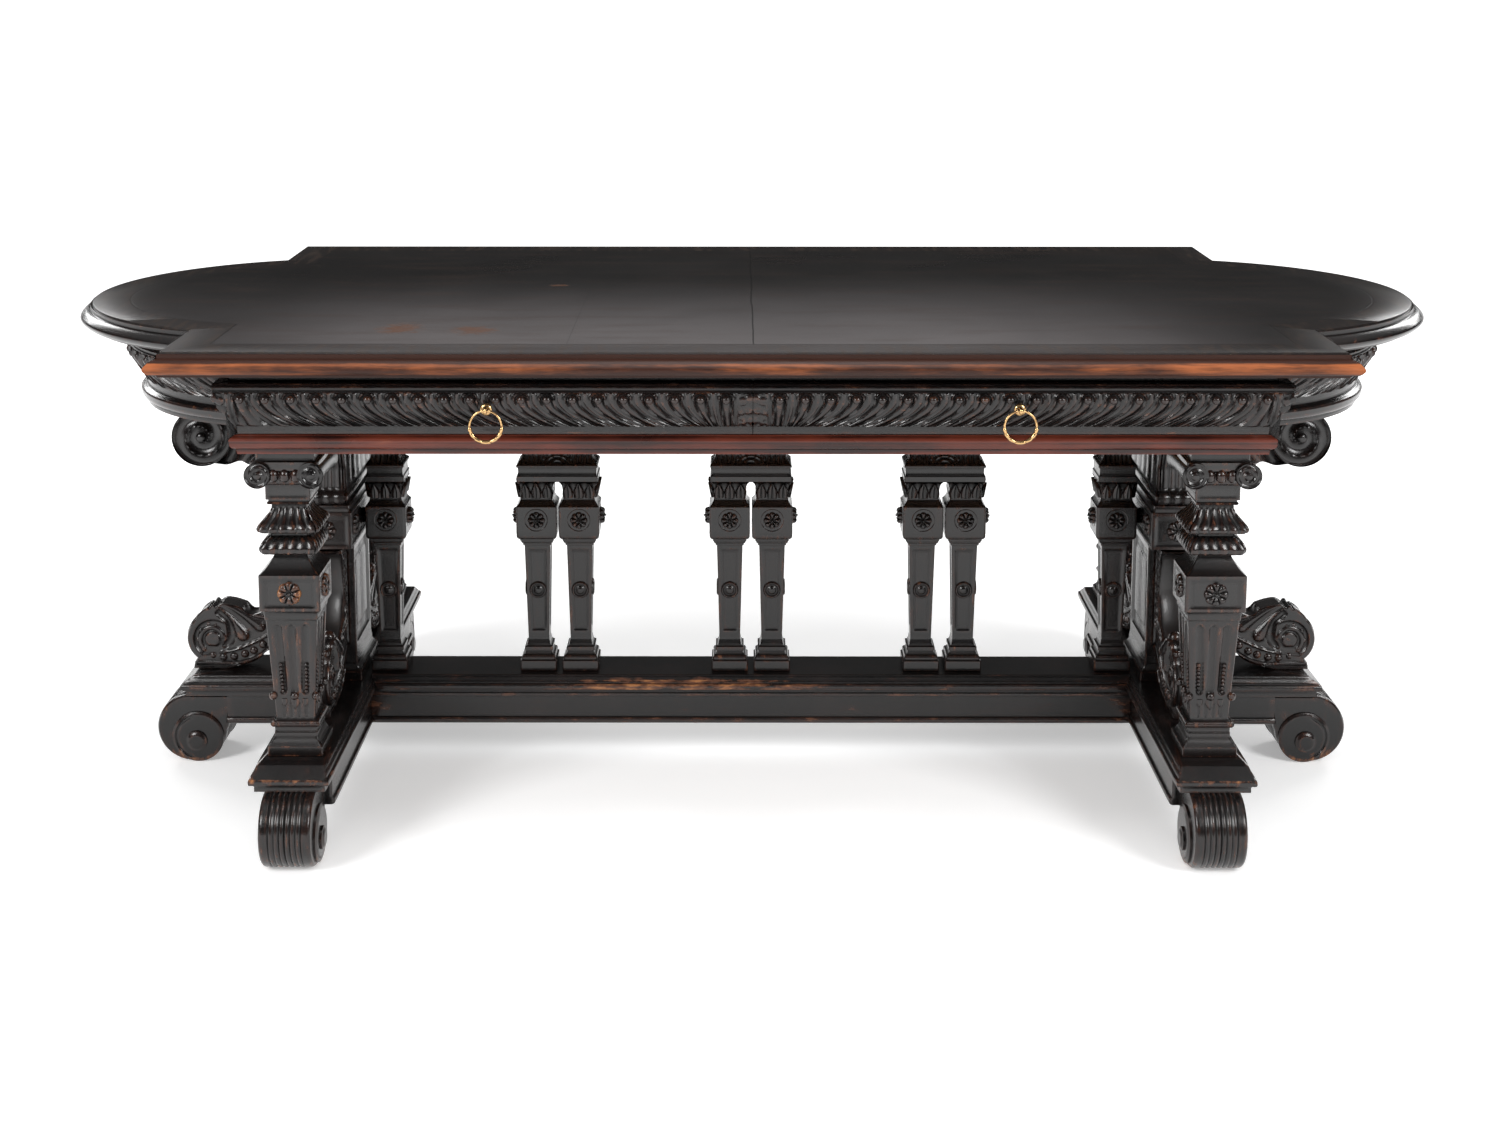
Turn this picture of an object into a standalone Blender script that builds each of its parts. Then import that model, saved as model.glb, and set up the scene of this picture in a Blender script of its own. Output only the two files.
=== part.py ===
"""Library table in ebonised walnut: a lobed top on a gadrooned frieze with two drawers,
carried by two trestles on scroll feet and by an arcade of small pilasters on a stretcher.

Metres, +Z up. The origin is on the floor under the middle of the table, and the front is -Y.
"""

import math

import bmesh
import bpy
from mathutils import Vector

# Clearances
FIT = 0.0003
DRAWER_EASE = 0.0008
SIDE_EASE = 0.003

# Top: a rectangle with a round lobe on each end, measured at its upper surface
TABLE_HEIGHT = 0.787
TOP_THICKNESS = 0.036
TOP_HALF_LENGTH = 0.829
TOP_HALF_DEPTH = 0.509
LOBE_CENTRE_X = 0.698
LOBE_RADIUS = 0.362
EDGE_OVERHANG = 0.020
EDGE_REBATE = 0.020
EDGE_REBATE_HEIGHT = 0.019
EDGE_STEP = 0.0032
LOBE_STEPS = 20

# Frieze below the top: lower rail, drawer band and recessed neck, from the bottom up
LOWER_RAIL_HEIGHT = 0.0287
DRAWER_BAND_HEIGHT = 0.0803
NECK_HEIGHT = 0.0164
FRIEZE_END_INSET = 0.089
FRIEZE_FRONT_INSET = 0.064
FRIEZE_LOBE_INSET = 0.079
FRIEZE_HALF_LENGTH = TOP_HALF_LENGTH - FRIEZE_END_INSET
FRIEZE_HALF_DEPTH = TOP_HALF_DEPTH - FRIEZE_FRONT_INSET
FRIEZE_LOBE_RADIUS = LOBE_RADIUS - FRIEZE_LOBE_INSET
FRIEZE_THICKNESS = 0.022
FRIEZE_FLARE = 0.030
NECK_OUT = 0.007
BEAD_OUT = 0.010

# Carcass boards behind the frieze
CHEEK_THICKNESS = 0.0177
CENTRE_RAIL_THICKNESS = 0.030
DIVIDER_THICKNESS = 0.018
RUNNER_HEIGHT = 0.018
RUNNER_WIDTH = 0.028
RUNNER_OVER_RAIL = 0.004

# Drawer boxes
DRAWER_SIDE_THICKNESS = 0.012
DRAWER_BACK_THICKNESS = 0.012
DRAWER_BOTTOM_THICKNESS = 0.006
DRAWER_SIDE_HEIGHT = 0.062
DRAWER_BACK_CLEARANCE = 0.012

# Ring pulls
PULL_X = 0.378
PULL_OVER_BAND_BOTTOM = 0.044
PULL_STAND_OFF = 0.041
RING_RADIUS = 0.0228
RING_BAR_RADIUS = 0.0027
EYE_BORE_RADIUS = 0.0034
EYE_RADIUS = 0.0065
EYE_LENGTH = 0.005
ROSETTE_RADIUS = 0.009
EYE_SEAT = 0.0025
SHANK_RADIUS = 0.003
NUT_RADIUS = 0.006
NUT_THICKNESS = 0.004
RING_STEPS = 20
BAR_STEPS = 8
PIN_STEPS = 12

# Beams on the floor level
BEAM_BOTTOM = 0.066
BEAM_TOP = 0.150
BEAM_CAP_BOTTOM = 0.115
BEAM_CAP_EDGE = 0.136
BEAM_HALF_WIDTH = 0.050
BEAM_BEAD = 0.003
BEAM_BEAD_HEIGHT = 0.012
BEAM_BEAD_LIP = 0.003
BEAM_QUIRK = 0.001
BEAM_CAP_HALF_WIDTH = 0.0595
BEAM_TOP_INSET = 0.0075
BEAM_END_INSET = 0.0215
STRETCHER_CAP_HALF_DEPTH = 0.053
STRETCHER_HALF_DEPTH = 0.046

# Trestles
TRESTLE_X = 0.682
CROSS_CAP_REACH = 0.4545
OUT_CAP_REACH = 0.263

# Scroll feet; the outer feet are as wide as the beam they carry
FOOT_RADIUS = 0.0575
FOOT_WIDTH = 0.076
OUTER_FOOT_WIDTH = 0.097
FOOT_BACK_SETBACK = 0.014
FOOT_HEEL = 0.003
FOOT_STEPS = 24
FOOT_TURN = 360.0
FOOT_TOP_ANGLE = 90.0
FOOT_HEEL_ANGLE = -180.0
EYE_BOSS_RADIUS = 0.017
EYE_BOSS_OUT = 0.012

# Corner legs, square in section
LEG_Y = 0.360
LEG_WIDTH = 0.117

# Piers in the middle of each trestle
PIER_HALF_WIDTH = 0.042
PIER_HALF_DEPTH = 0.130
PIER_SHAFT_HALF_DEPTH = 0.070
PIER_HEAD_REACH = 0.190

# Lower scroll consoles round each pier
CONSOLE_WIDTH = 0.050
CONSOLE_VOLUTE_REACH = 0.211
CONSOLE_VOLUTE_RADIUS = 0.0535
CONSOLE_BASE_REACH = 0.256
CONSOLE_BASE_HEIGHT = 0.012
CONSOLE_DIP_REACH = 0.160
CONSOLE_DIP_HEIGHT = 0.088
CONSOLE_TOP_THICKNESS = 0.018
END_CONSOLE_TOP_REACH = 0.118
CONSOLE_VOLUTE_END_ANGLE = 100.0
CONSOLE_FOOT_GAP = 0.003
CONSOLE_STEPS = 18

# Upper scroll brackets under the lobes
BRACKET_WIDTH = 0.062
BRACKET_VOLUTE_REACH = 0.225
BRACKET_VOLUTE_RADIUS = 0.043
BRACKET_VOLUTE_DROP = 0.078
BRACKET_LEAF_DROP = 0.124
BRACKET_VOLUTE_START_ANGLE = -90.0
BRACKET_VOLUTE_END_ANGLE = 110.0

# Arcade pilasters on the stretcher
PILASTER_PAIR_X = 0.3185
PILASTER_END_X = 0.602
PILASTER_SPREAD = 0.035
PILASTER_WIDTH = 0.066
PILASTER_HEAD_HEIGHT = 0.150
PILASTER_HEAD_LAP = 0.006

# Outlines as shares: height up the piece, then width or projection
LOWER_RAIL_SHARES = (
    (0.0, 0.10), (0.24, 0.10), (0.30, 0.45), (0.42, 0.90),
    (0.62, 1.00), (0.84, 0.90), (0.96, 0.40), (1.0, 0.30),
)
DRAWER_BAND_SHARES = (
    (0.0, 0.00), (0.12, 0.00), (0.22, 0.13), (0.384, 0.45), (0.573, 0.80), (0.737, 0.98),
    (0.838, 1.00), (0.85, 0.88), (0.90, 1.00), (1.0, 0.95),
)
EDGE_MOULDING_SHARES = (
    (0.0, 0.20), (0.09, 0.30), (0.17, 0.70), (0.30, 0.925), (0.43, 1.0),
    (0.57, 0.925), (0.71, 0.65), (0.79, 0.30), (0.81, 0.20), (1.0, 0.20),
)
LEG_SHARES = (
    (0.0, 0.70), (0.031, 0.70), (0.057, 0.56), (0.078, 0.53), (0.105, 0.53), (0.118, 0.485),
    (0.449, 0.654), (0.475, 0.71), (0.476, 0.77), (0.592, 0.77), (0.632, 0.60), (0.638, 0.72),
    (0.660, 0.752), (0.682, 0.72), (0.688, 0.615), (0.700, 0.615), (0.703, 0.77), (0.762, 0.59),
    (0.770, 0.655), (0.795, 0.63), (0.797, 0.59), (0.842, 0.59), (0.845, 0.86), (0.889, 0.93),
    (0.903, 1.0), (0.932, 1.0), (0.934, 0.726), (1.0, 0.726),
)
PIER_SHARES = (
    (0.0, 1.0), (0.035, 1.0), (0.060, 0.88), (0.085, 0.79), (0.490, 0.79), (0.503, 0.90),
    (0.505, 1.0), (0.630, 1.0), (0.655, 0.90), (0.660, 0.79), (0.690, 0.79),
)
PIER_HEAD_SHARES = ((0.70, 0.0), (0.80, 0.16), (0.90, 0.62), (0.955, 0.96), (1.0, 1.0))
PIER_NECK_SHARE = 0.86
PILASTER_SHARES = (
    (0.0, 0.90), (0.075, 0.90), (0.080, 0.80), (0.130, 0.58), (0.160, 0.52), (0.670, 0.63),
    (0.690, 0.76), (0.730, 0.86), (0.755, 1.0), (0.865, 1.0), (0.900, 0.74), (0.905, 0.80),
    (0.985, 0.90), (1.0, 0.90),
)
PILASTER_HEAD_SHARES = (
    (0.0, 1.0), (0.075, 1.0), (0.080, 0.93), (0.30, 0.97), (0.34, 0.86), (0.60, 0.83),
    (0.80, 0.91), (0.93, 0.93), (1.0, 0.90),
)
CONSOLE_CURVE_SHARES = ((1.0, 0.0), (0.80, 0.06), (0.56, 0.20), (0.30, 0.50), (0.16, 0.80))
BRACKET_CURVE_SHARES = ((0.0, 0.78), (0.30, 0.84), (0.62, 1.0), (0.86, 0.94))

# Levels worked out from the sizes above
PANEL_BOTTOM = TABLE_HEIGHT - TOP_THICKNESS
NECK_TOP = PANEL_BOTTOM - FIT
NECK_BOTTOM = NECK_TOP - NECK_HEIGHT
BAND_BOTTOM = NECK_BOTTOM - DRAWER_BAND_HEIGHT
APRON_BOTTOM = BAND_BOTTOM - LOWER_RAIL_HEIGHT
LEG_BOTTOM = BEAM_TOP + FIT
LEG_HEIGHT = APRON_BOTTOM - FIT - LEG_BOTTOM
PULL_HEIGHT = BAND_BOTTOM + PULL_OVER_BAND_BOTTOM
CROSS_BODY_REACH = CROSS_CAP_REACH - FOOT_BACK_SETBACK - FOOT_RADIUS - FOOT_HEEL
OUT_BODY_REACH = OUT_CAP_REACH - FOOT_BACK_SETBACK - FOOT_RADIUS - FOOT_HEEL
INNER_HALF_LENGTH = FRIEZE_HALF_LENGTH - FRIEZE_THICKNESS
INNER_HALF_DEPTH = FRIEZE_HALF_DEPTH - FRIEZE_THICKNESS
CHEEK_OUTER = INNER_HALF_LENGTH - FIT
CHEEK_INNER = CHEEK_OUTER - CHEEK_THICKNESS
DRAWER_OUTER = CHEEK_INNER - SIDE_EASE
DRAWER_INNER = DIVIDER_THICKNESS / 2 + SIDE_EASE
RUNNER_TOP = BAND_BOTTOM + RUNNER_OVER_RAIL
CENTRE_RAIL_FRONT = CENTRE_RAIL_THICKNESS / 2
DRAWER_BACK_Y = -(CENTRE_RAIL_FRONT + DRAWER_BACK_CLEARANCE)
(PIER_FOOT_SHARE, PIER_SHAFT_SHARE), (PIER_SHAFT_TOP_SHARE, _) = PIER_SHARES[3:5]
PIER_SHAFT_HALF_WIDTH = PIER_HALF_WIDTH * PIER_SHAFT_SHARE
PIER_FOOT_HALF_DEPTH = PIER_SHAFT_HALF_DEPTH + PIER_HALF_WIDTH - PIER_SHAFT_HALF_WIDTH
CONSOLE_TOP_HEIGHT = LEG_HEIGHT * PIER_SHAFT_TOP_SHARE - FIT


def clear_scene():
    for old in list(bpy.data.objects):
        bpy.data.objects.remove(old)


def finish(name, colour, roughness, metallic=0.0):
    """A plain Principled material."""
    material = bpy.data.materials.new(name)
    material.use_nodes = True
    shader = material.node_tree.nodes["Principled BSDF"]
    shader.inputs["Base Color"].default_value = (*colour, 1.0)
    shader.inputs["Roughness"].default_value = roughness
    shader.inputs["Metallic"].default_value = metallic
    return material


def mesh_from(bm, name):
    """Turns a closed bmesh into a mesh whose faces point out."""
    bmesh.ops.recalc_face_normals(bm, faces=bm.faces)
    mesh = bpy.data.meshes.new(name)
    bm.to_mesh(mesh)
    bm.free()
    return mesh


def rings_mesh(name, rings):
    """Bridges closed rings of equally many points and caps the first and the last ring."""
    bm = bmesh.new()
    loops = [[bm.verts.new(point) for point in ring] for ring in rings]
    for low, high in zip(loops, loops[1:]):
        for index in range(len(low)):
            after = (index + 1) % len(low)
            bm.faces.new((low[index], low[after], high[after], high[index]))
    bm.faces.new(reversed(loops[0]))
    bm.faces.new(loops[-1])
    return mesh_from(bm, name)


def stack_mesh(name, levels):
    """A stack of rectangles; a level is its height, then its lowest and highest x and y."""
    rings = [
        [(x0, y0, z), (x1, y0, z), (x1, y1, z), (x0, y1, z)]
        for z, x0, x1, y0, y1 in levels
    ]
    return rings_mesh(name, rings)


def board_mesh(name, low, high):
    bm = bmesh.new()
    bmesh.ops.create_cube(bm, size=1.0)
    size = Vector(high) - Vector(low)
    bmesh.ops.scale(bm, vec=size, verts=bm.verts)
    bmesh.ops.translate(bm, vec=(Vector(high) + Vector(low)) / 2, verts=bm.verts)
    return mesh_from(bm, name)


def slab_mesh(name, outline, half_width, along, across):
    """Extrudes an outline, given as (reach, height) pairs, to both sides of its plane."""
    out, side, up = Vector(along), Vector(across), Vector((0.0, 0.0, 1.0))
    faces = [
        [out * reach + up * height + side * (sign * half_width) for reach, height in outline]
        for sign in (-1, 1)
    ]
    return rings_mesh(name, faces)


def rod_mesh(name, start, end, radius, steps):
    """A round rod between two points."""
    start, end = Vector(start), Vector(end)
    length = (end - start).length
    bm = bmesh.new()
    bmesh.ops.create_cone(
        bm, cap_ends=True, segments=steps, radius1=radius, radius2=radius, depth=length
    )
    turn = Vector((0.0, 0.0, 1.0)).rotation_difference(end - start).to_matrix()
    bmesh.ops.rotate(bm, matrix=turn, verts=bm.verts)
    bmesh.ops.translate(bm, vec=(start + end) / 2, verts=bm.verts)
    return mesh_from(bm, name)


def combined(base, others, operation):
    """The mesh that a Boolean makes of the base mesh and the other meshes."""
    holder = bpy.data.objects.new("combined", base)
    bpy.context.scene.collection.objects.link(holder)
    helpers = []
    for other in others:
        helper = bpy.data.objects.new("helper", other)
        bpy.context.scene.collection.objects.link(helper)
        boolean = holder.modifiers.new("combine", "BOOLEAN")
        boolean.operation = operation
        boolean.solver = "EXACT"
        boolean.object = helper
        helpers.append(helper)
    bpy.context.view_layer.update()
    evaluated = holder.evaluated_get(bpy.context.evaluated_depsgraph_get())
    mesh = bpy.data.meshes.new_from_object(evaluated)
    for helper in helpers + [holder]:
        bpy.data.objects.remove(helper)
    return mesh


def piece(name, mesh, material, location=(0.0, 0.0, 0.0), turn=0.0, parent=None):
    """Places a mesh as a named piece; it keeps a mesh of its own when that is shared."""
    obj = bpy.data.objects.new(name, mesh)
    bpy.context.scene.collection.objects.link(obj)
    obj.location = location
    obj.rotation_euler = (0.0, 0.0, turn)
    obj.parent = parent
    if not mesh.materials:
        mesh.materials.append(material)
    return obj


def scroll_outline(centre, radius, start, end, steps):
    """Points on an arc about a centre, between two angles in degrees."""
    return [
        (
            centre[0] + radius * math.cos(math.radians(start + (end - start) * step / steps)),
            centre[1] + radius * math.sin(math.radians(start + (end - start) * step / steps)),
        )
        for step in range(steps + 1)
    ]


def lobed_point(half_length, half_depth, radius, station):
    """A point of a lobed outline. A station is the lobe's side (-1 or 1) with a share of the
    half arc from -1 at the front to 1 at the back, or "corner" with the signs of a corner."""
    if station[0] == "corner":
        return station[1] * half_length, station[2] * half_depth
    side, share = station
    reach = half_length - LOBE_CENTRE_X
    angle = share * math.acos(reach / radius)
    return side * (LOBE_CENTRE_X + radius * math.cos(angle)), radius * math.sin(angle)


def lobe_stations(side):
    """A lobe with the straight returns beside it, from the front corner to the back one."""
    arc = [(side, 2 * step / LOBE_STEPS - 1) for step in range(LOBE_STEPS + 1)]
    return [("corner", side, -1)] + arc + [("corner", side, 1)]


def lobed_ring(half_length, half_depth, radius, height):
    stations = lobe_stations(1) + list(reversed(lobe_stations(-1)))
    return [(*lobed_point(half_length, half_depth, radius, at), height) for at in stations]


def swept_mesh(name, stations, section, sizes, ends_eased=False):
    """Carries a closed section, given as (projection, height) pairs, along a lobed outline."""
    half_length, half_depth, radius = sizes
    rings = []
    for station in stations:
        ring = []
        for out, height in section:
            x, y = lobed_point(half_length + out, half_depth + out, radius + out, station)
            if ends_eased:
                x -= math.copysign(FIT, x)
            ring.append((x, y, height))
        rings.append(ring)
    return rings_mesh(name, rings)


def section_points(shares, bottom, height, projection):
    return [(out * projection, bottom + up * height) for up, out in shares]


def frieze_section(parts):
    """Closes the outer points of a frieze with its flat back."""
    return parts + [(-FRIEZE_THICKNESS, parts[-1][1]), (-FRIEZE_THICKNESS, parts[0][1])]


FRIEZE_SIZES = (FRIEZE_HALF_LENGTH, FRIEZE_HALF_DEPTH, FRIEZE_LOBE_RADIUS)
RAIL_POINTS = section_points(
    LOWER_RAIL_SHARES, APRON_BOTTOM, LOWER_RAIL_HEIGHT, BEAD_OUT
)
BAND_POINTS = section_points(
    DRAWER_BAND_SHARES, BAND_BOTTOM, DRAWER_BAND_HEIGHT, FRIEZE_FLARE
)
NECK_POINTS = [(NECK_OUT, NECK_BOTTOM), (NECK_OUT, NECK_TOP)]


def band_projection(height):
    """How far the drawer band stands out at a height."""
    for (out, low), (next_out, high) in zip(BAND_POINTS, BAND_POINTS[1:]):
        if low <= height <= high:
            return out + (next_out - out) * (height - low) / (high - low)
    return FRIEZE_FLARE


def add_top(wood, worn_wood):
    """The panel, rebated below its edge, and the mitred mouldings that run in the rebate."""
    sizes = (TOP_HALF_LENGTH, TOP_HALF_DEPTH, LOBE_RADIUS)
    inner = [size - EDGE_REBATE for size in sizes]
    rebate_top = PANEL_BOTTOM + EDGE_REBATE_HEIGHT
    panel = [
        lobed_ring(*inner, PANEL_BOTTOM),
        lobed_ring(*inner, rebate_top),
        lobed_ring(*sizes, rebate_top),
        lobed_ring(*sizes, TABLE_HEIGHT),
    ]
    piece("top_panel", rings_mesh("top_panel", panel), wood)
    moulding_height = TOP_THICKNESS - EDGE_STEP
    section = section_points(
        EDGE_MOULDING_SHARES, PANEL_BOTTOM, moulding_height, EDGE_OVERHANG
    )
    section += [
        (FIT, PANEL_BOTTOM + moulding_height),
        (FIT, rebate_top - FIT),
        (FIT - EDGE_REBATE, rebate_top - FIT),
        (FIT - EDGE_REBATE, PANEL_BOTTOM),
    ]
    for name, side in (("front", -1), ("back", 1)):
        ends = [("corner", -1, side), ("corner", 1, side)]
        name = f"{name}_edge_moulding"
        piece(name, swept_mesh(name, ends, section, sizes, ends_eased=True), worn_wood)
    for name, side in (("left", -1), ("right", 1)):
        name = f"{name}_edge_moulding"
        piece(name, swept_mesh(name, lobe_stations(side), section, sizes), wood)


def add_frieze(wood, worn_wood):
    """Rails and fixed friezes round the carcass; the drawers close its front."""
    front = [("corner", -1, -1), ("corner", 1, -1)]
    lower = frieze_section(RAIL_POINTS[:-1] + [(RAIL_POINTS[-1][0], BAND_BOTTOM - FIT)])
    mesh = swept_mesh("front_lower_rail", front, lower, FRIEZE_SIZES, ends_eased=True)
    piece("front_lower_rail", mesh, worn_wood)
    upper = frieze_section(NECK_POINTS)
    mesh = swept_mesh("front_top_rail", front, upper, FRIEZE_SIZES, ends_eased=True)
    piece("front_top_rail", mesh, wood)
    whole = frieze_section(RAIL_POINTS + BAND_POINTS + NECK_POINTS)
    back = [("corner", -1, 1), ("corner", 1, 1)]
    mesh = swept_mesh("back_frieze", back, whole, FRIEZE_SIZES, ends_eased=True)
    piece("back_frieze", mesh, wood)
    for name, side in (("left", -1), ("right", 1)):
        name = f"{name}_end_frieze"
        piece(name, swept_mesh(name, lobe_stations(side), whole, FRIEZE_SIZES), wood)


def add_carcass(wood):
    """Cheeks, the rail over the arcade, the divider between the drawers and the runners."""
    cheek_reach = INNER_HALF_DEPTH - FIT
    runner_bottom = RUNNER_TOP - RUNNER_HEIGHT
    runner_back = -CENTRE_RAIL_FRONT - FIT
    for name, side in (("left", -1), ("right", 1)):
        low = (CHEEK_INNER, -cheek_reach, APRON_BOTTOM)
        high = (CHEEK_OUTER, cheek_reach, NECK_TOP)
        mesh = board_mesh(f"{name}_cheek", *mirrored(low, high, side))
        piece(f"{name}_cheek", mesh, wood)
        low = (CHEEK_INNER - FIT - RUNNER_WIDTH, -cheek_reach, runner_bottom)
        high = (CHEEK_INNER - FIT, runner_back, RUNNER_TOP)
        mesh = board_mesh(f"{name}_drawer_runner", *mirrored(low, high, side))
        piece(f"{name}_drawer_runner", mesh, wood)
    reach = CHEEK_INNER - FIT
    mesh = board_mesh(
        "centre_rail",
        (-reach, -CENTRE_RAIL_FRONT, APRON_BOTTOM),
        (reach, CENTRE_RAIL_FRONT, NECK_TOP),
    )
    piece("centre_rail", mesh, wood)
    web = DIVIDER_THICKNESS / 2
    shelf = web + RUNNER_WIDTH
    outline = [
        (-shelf, runner_bottom), (shelf, runner_bottom), (shelf, RUNNER_TOP), (web, RUNNER_TOP),
        (web, NECK_BOTTOM), (-web, NECK_BOTTOM), (-web, RUNNER_TOP), (-shelf, RUNNER_TOP),
    ]
    rings = [[(x, y, z) for x, z in outline] for y in (-cheek_reach, runner_back)]
    piece("drawer_divider", rings_mesh("drawer_divider", rings), wood)


def mirrored(low, high, side):
    """A box's corners on the right side of the table, or their mirror image on the left."""
    if side > 0:
        return low, high
    return (-high[0], *low[1:]), (-low[0], *high[1:])


def add_drawer(name, side, front_wood, box_wood, brass):
    """One drawer with its ring pull. It hangs on an empty at the middle of its front."""
    slide = bpy.data.objects.new(f"{name}_slide", None)
    bpy.context.scene.collection.objects.link(slide)
    slide.location = (side * PULL_X, -FRIEZE_HALF_DEPTH, BAND_BOTTOM)
    shift = -slide.location
    bottom_low = RUNNER_TOP + FIT
    side_low = bottom_low + DRAWER_BOTTOM_THICKNESS + FIT
    side_high = side_low + DRAWER_SIDE_HEIGHT
    box_front = -INNER_HALF_DEPTH + FIT

    section = frieze_section(
        [(BAND_POINTS[0][0], BAND_BOTTOM + DRAWER_EASE)]
        + BAND_POINTS[1:-1]
        + [(BAND_POINTS[-1][0], NECK_BOTTOM - DRAWER_EASE)]
    )
    rings = [
        [(side * DRAWER_EASE / 2, -FRIEZE_HALF_DEPTH - out, z) for out, z in section],
        [
            (side * (FRIEZE_HALF_LENGTH + out - DRAWER_EASE), -FRIEZE_HALF_DEPTH - out, z)
            for out, z in section
        ],
    ]
    front = rings_mesh("front", rings)
    pull_at = (side * PULL_X, -FRIEZE_HALF_DEPTH, PULL_HEIGHT)
    bore = rod_mesh(
        "bore",
        (pull_at[0], pull_at[1] - 2 * FRIEZE_FLARE, pull_at[2]),
        (pull_at[0], pull_at[1] + 2 * FRIEZE_THICKNESS, pull_at[2]),
        SHANK_RADIUS + FIT,
        PIN_STEPS,
    )
    front = combined(front, [bore], "DIFFERENCE")
    piece(f"{name}_front", front, front_wood, shift, parent=slide)

    outer_face = DRAWER_OUTER - DRAWER_SIDE_THICKNESS
    inner_face = DRAWER_INNER + DRAWER_SIDE_THICKNESS
    boards = {
        "outer_side": (
            (outer_face, box_front, side_low),
            (DRAWER_OUTER, DRAWER_BACK_Y, side_high),
        ),
        "inner_side": (
            (DRAWER_INNER, box_front, side_low),
            (inner_face, DRAWER_BACK_Y, side_high),
        ),
        "back": (
            (inner_face + FIT, DRAWER_BACK_Y - DRAWER_BACK_THICKNESS, side_low),
            (outer_face - FIT, DRAWER_BACK_Y, side_high),
        ),
        "bottom": (
            (DRAWER_INNER, box_front, bottom_low),
            (DRAWER_OUTER, DRAWER_BACK_Y, bottom_low + DRAWER_BOTTOM_THICKNESS),
        ),
    }
    for part, (low, high) in boards.items():
        mesh = board_mesh(part, *mirrored(low, high, side))
        piece(f"{name}_{part}", mesh, box_wood, shift, parent=slide)

    hinge_y = -FRIEZE_HALF_DEPTH - PULL_STAND_OFF
    hinge = Vector((side * PULL_X, hinge_y, PULL_HEIGHT))
    rosette_back = -FRIEZE_HALF_DEPTH - band_projection(PULL_HEIGHT + ROSETTE_RADIUS) - FIT
    along = Vector((0.0, 1.0, 0.0))
    across = Vector((1.0, 0.0, 0.0))
    axis_point = Vector((hinge.x, 0.0, hinge.z))
    rosette_front = hinge_y + EYE_RADIUS - EYE_SEAT
    rosette = rod_mesh(
        "rosette",
        axis_point + along * rosette_front,
        axis_point + along * rosette_back,
        ROSETTE_RADIUS,
        PIN_STEPS,
    )
    shank = rod_mesh(
        "shank",
        axis_point + along * (rosette_back + rosette_front) / 2,
        axis_point + along * (box_front + NUT_THICKNESS / 2),
        SHANK_RADIUS,
        PIN_STEPS,
    )
    nut = rod_mesh(
        "nut",
        axis_point + along * box_front,
        axis_point + along * (box_front + NUT_THICKNESS),
        NUT_RADIUS,
        PIN_STEPS // 2,
    )
    eye = rod_mesh(
        "eye",
        hinge - across * EYE_LENGTH / 2,
        hinge + across * EYE_LENGTH / 2,
        EYE_RADIUS,
        PIN_STEPS,
    )
    bore = rod_mesh(
        "eye_bore",
        hinge - across * EYE_LENGTH,
        hinge + across * EYE_LENGTH,
        EYE_BORE_RADIUS,
        PIN_STEPS,
    )
    mount = combined(combined(rosette, [shank, nut, eye], "UNION"), [bore], "DIFFERENCE")
    piece(f"{name}_pull_mount", mount, brass, shift, parent=slide)

    ring = ring_mesh("ring")
    piece(f"{name}_pull_ring", ring, brass, hinge + shift, parent=slide)


def ring_mesh(name):
    """A round ring that hangs in the XZ plane from its hinge at the local origin."""
    bm = bmesh.new()
    loops = []
    for step in range(RING_STEPS):
        turn = 2 * math.pi * step / RING_STEPS
        spoke = Vector((math.sin(turn), 0.0, math.cos(turn)))
        middle = spoke * RING_RADIUS - Vector((0.0, 0.0, RING_RADIUS))
        loop = []
        for bar_step in range(BAR_STEPS):
            bar_turn = 2 * math.pi * bar_step / BAR_STEPS
            offset = spoke * math.cos(bar_turn) + Vector((0.0, math.sin(bar_turn), 0.0))
            loop.append(bm.verts.new(middle + offset * RING_BAR_RADIUS))
        loops.append(loop)
    for step, loop in enumerate(loops):
        after = loops[(step + 1) % RING_STEPS]
        for index in range(BAR_STEPS):
            second = (index + 1) % BAR_STEPS
            bm.faces.new((loop[index], after[index], after[second], loop[second]))
    return mesh_from(bm, name)


def beam_levels(half_width, cap_half_width):
    """Half widths of a beam by height: bead, body, cap edge and the sloped top of the cap."""
    return [
        (BEAM_BOTTOM, half_width),
        (BEAM_BOTTOM + BEAM_BEAD_LIP, half_width + BEAM_BEAD),
        (BEAM_BOTTOM + BEAM_BEAD_HEIGHT, half_width + BEAM_BEAD),
        (BEAM_BOTTOM + BEAM_BEAD_HEIGHT + BEAM_QUIRK, half_width),
        (BEAM_CAP_BOTTOM - BEAM_QUIRK, half_width),
        (BEAM_CAP_BOTTOM, half_width + BEAM_BEAD),
        ((BEAM_CAP_BOTTOM + BEAM_CAP_EDGE) / 2, cap_half_width),
        (BEAM_CAP_EDGE, cap_half_width),
        (BEAM_TOP, cap_half_width - BEAM_TOP_INSET),
    ]


def beam_reach(height, body_reach, cap_reach):
    """How far a beam runs at a height: its cap overhangs the scroll foot."""
    if height < BEAM_CAP_BOTTOM:
        return body_reach
    if height > BEAM_CAP_EDGE:
        return cap_reach - BEAM_END_INSET
    return cap_reach


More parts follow.
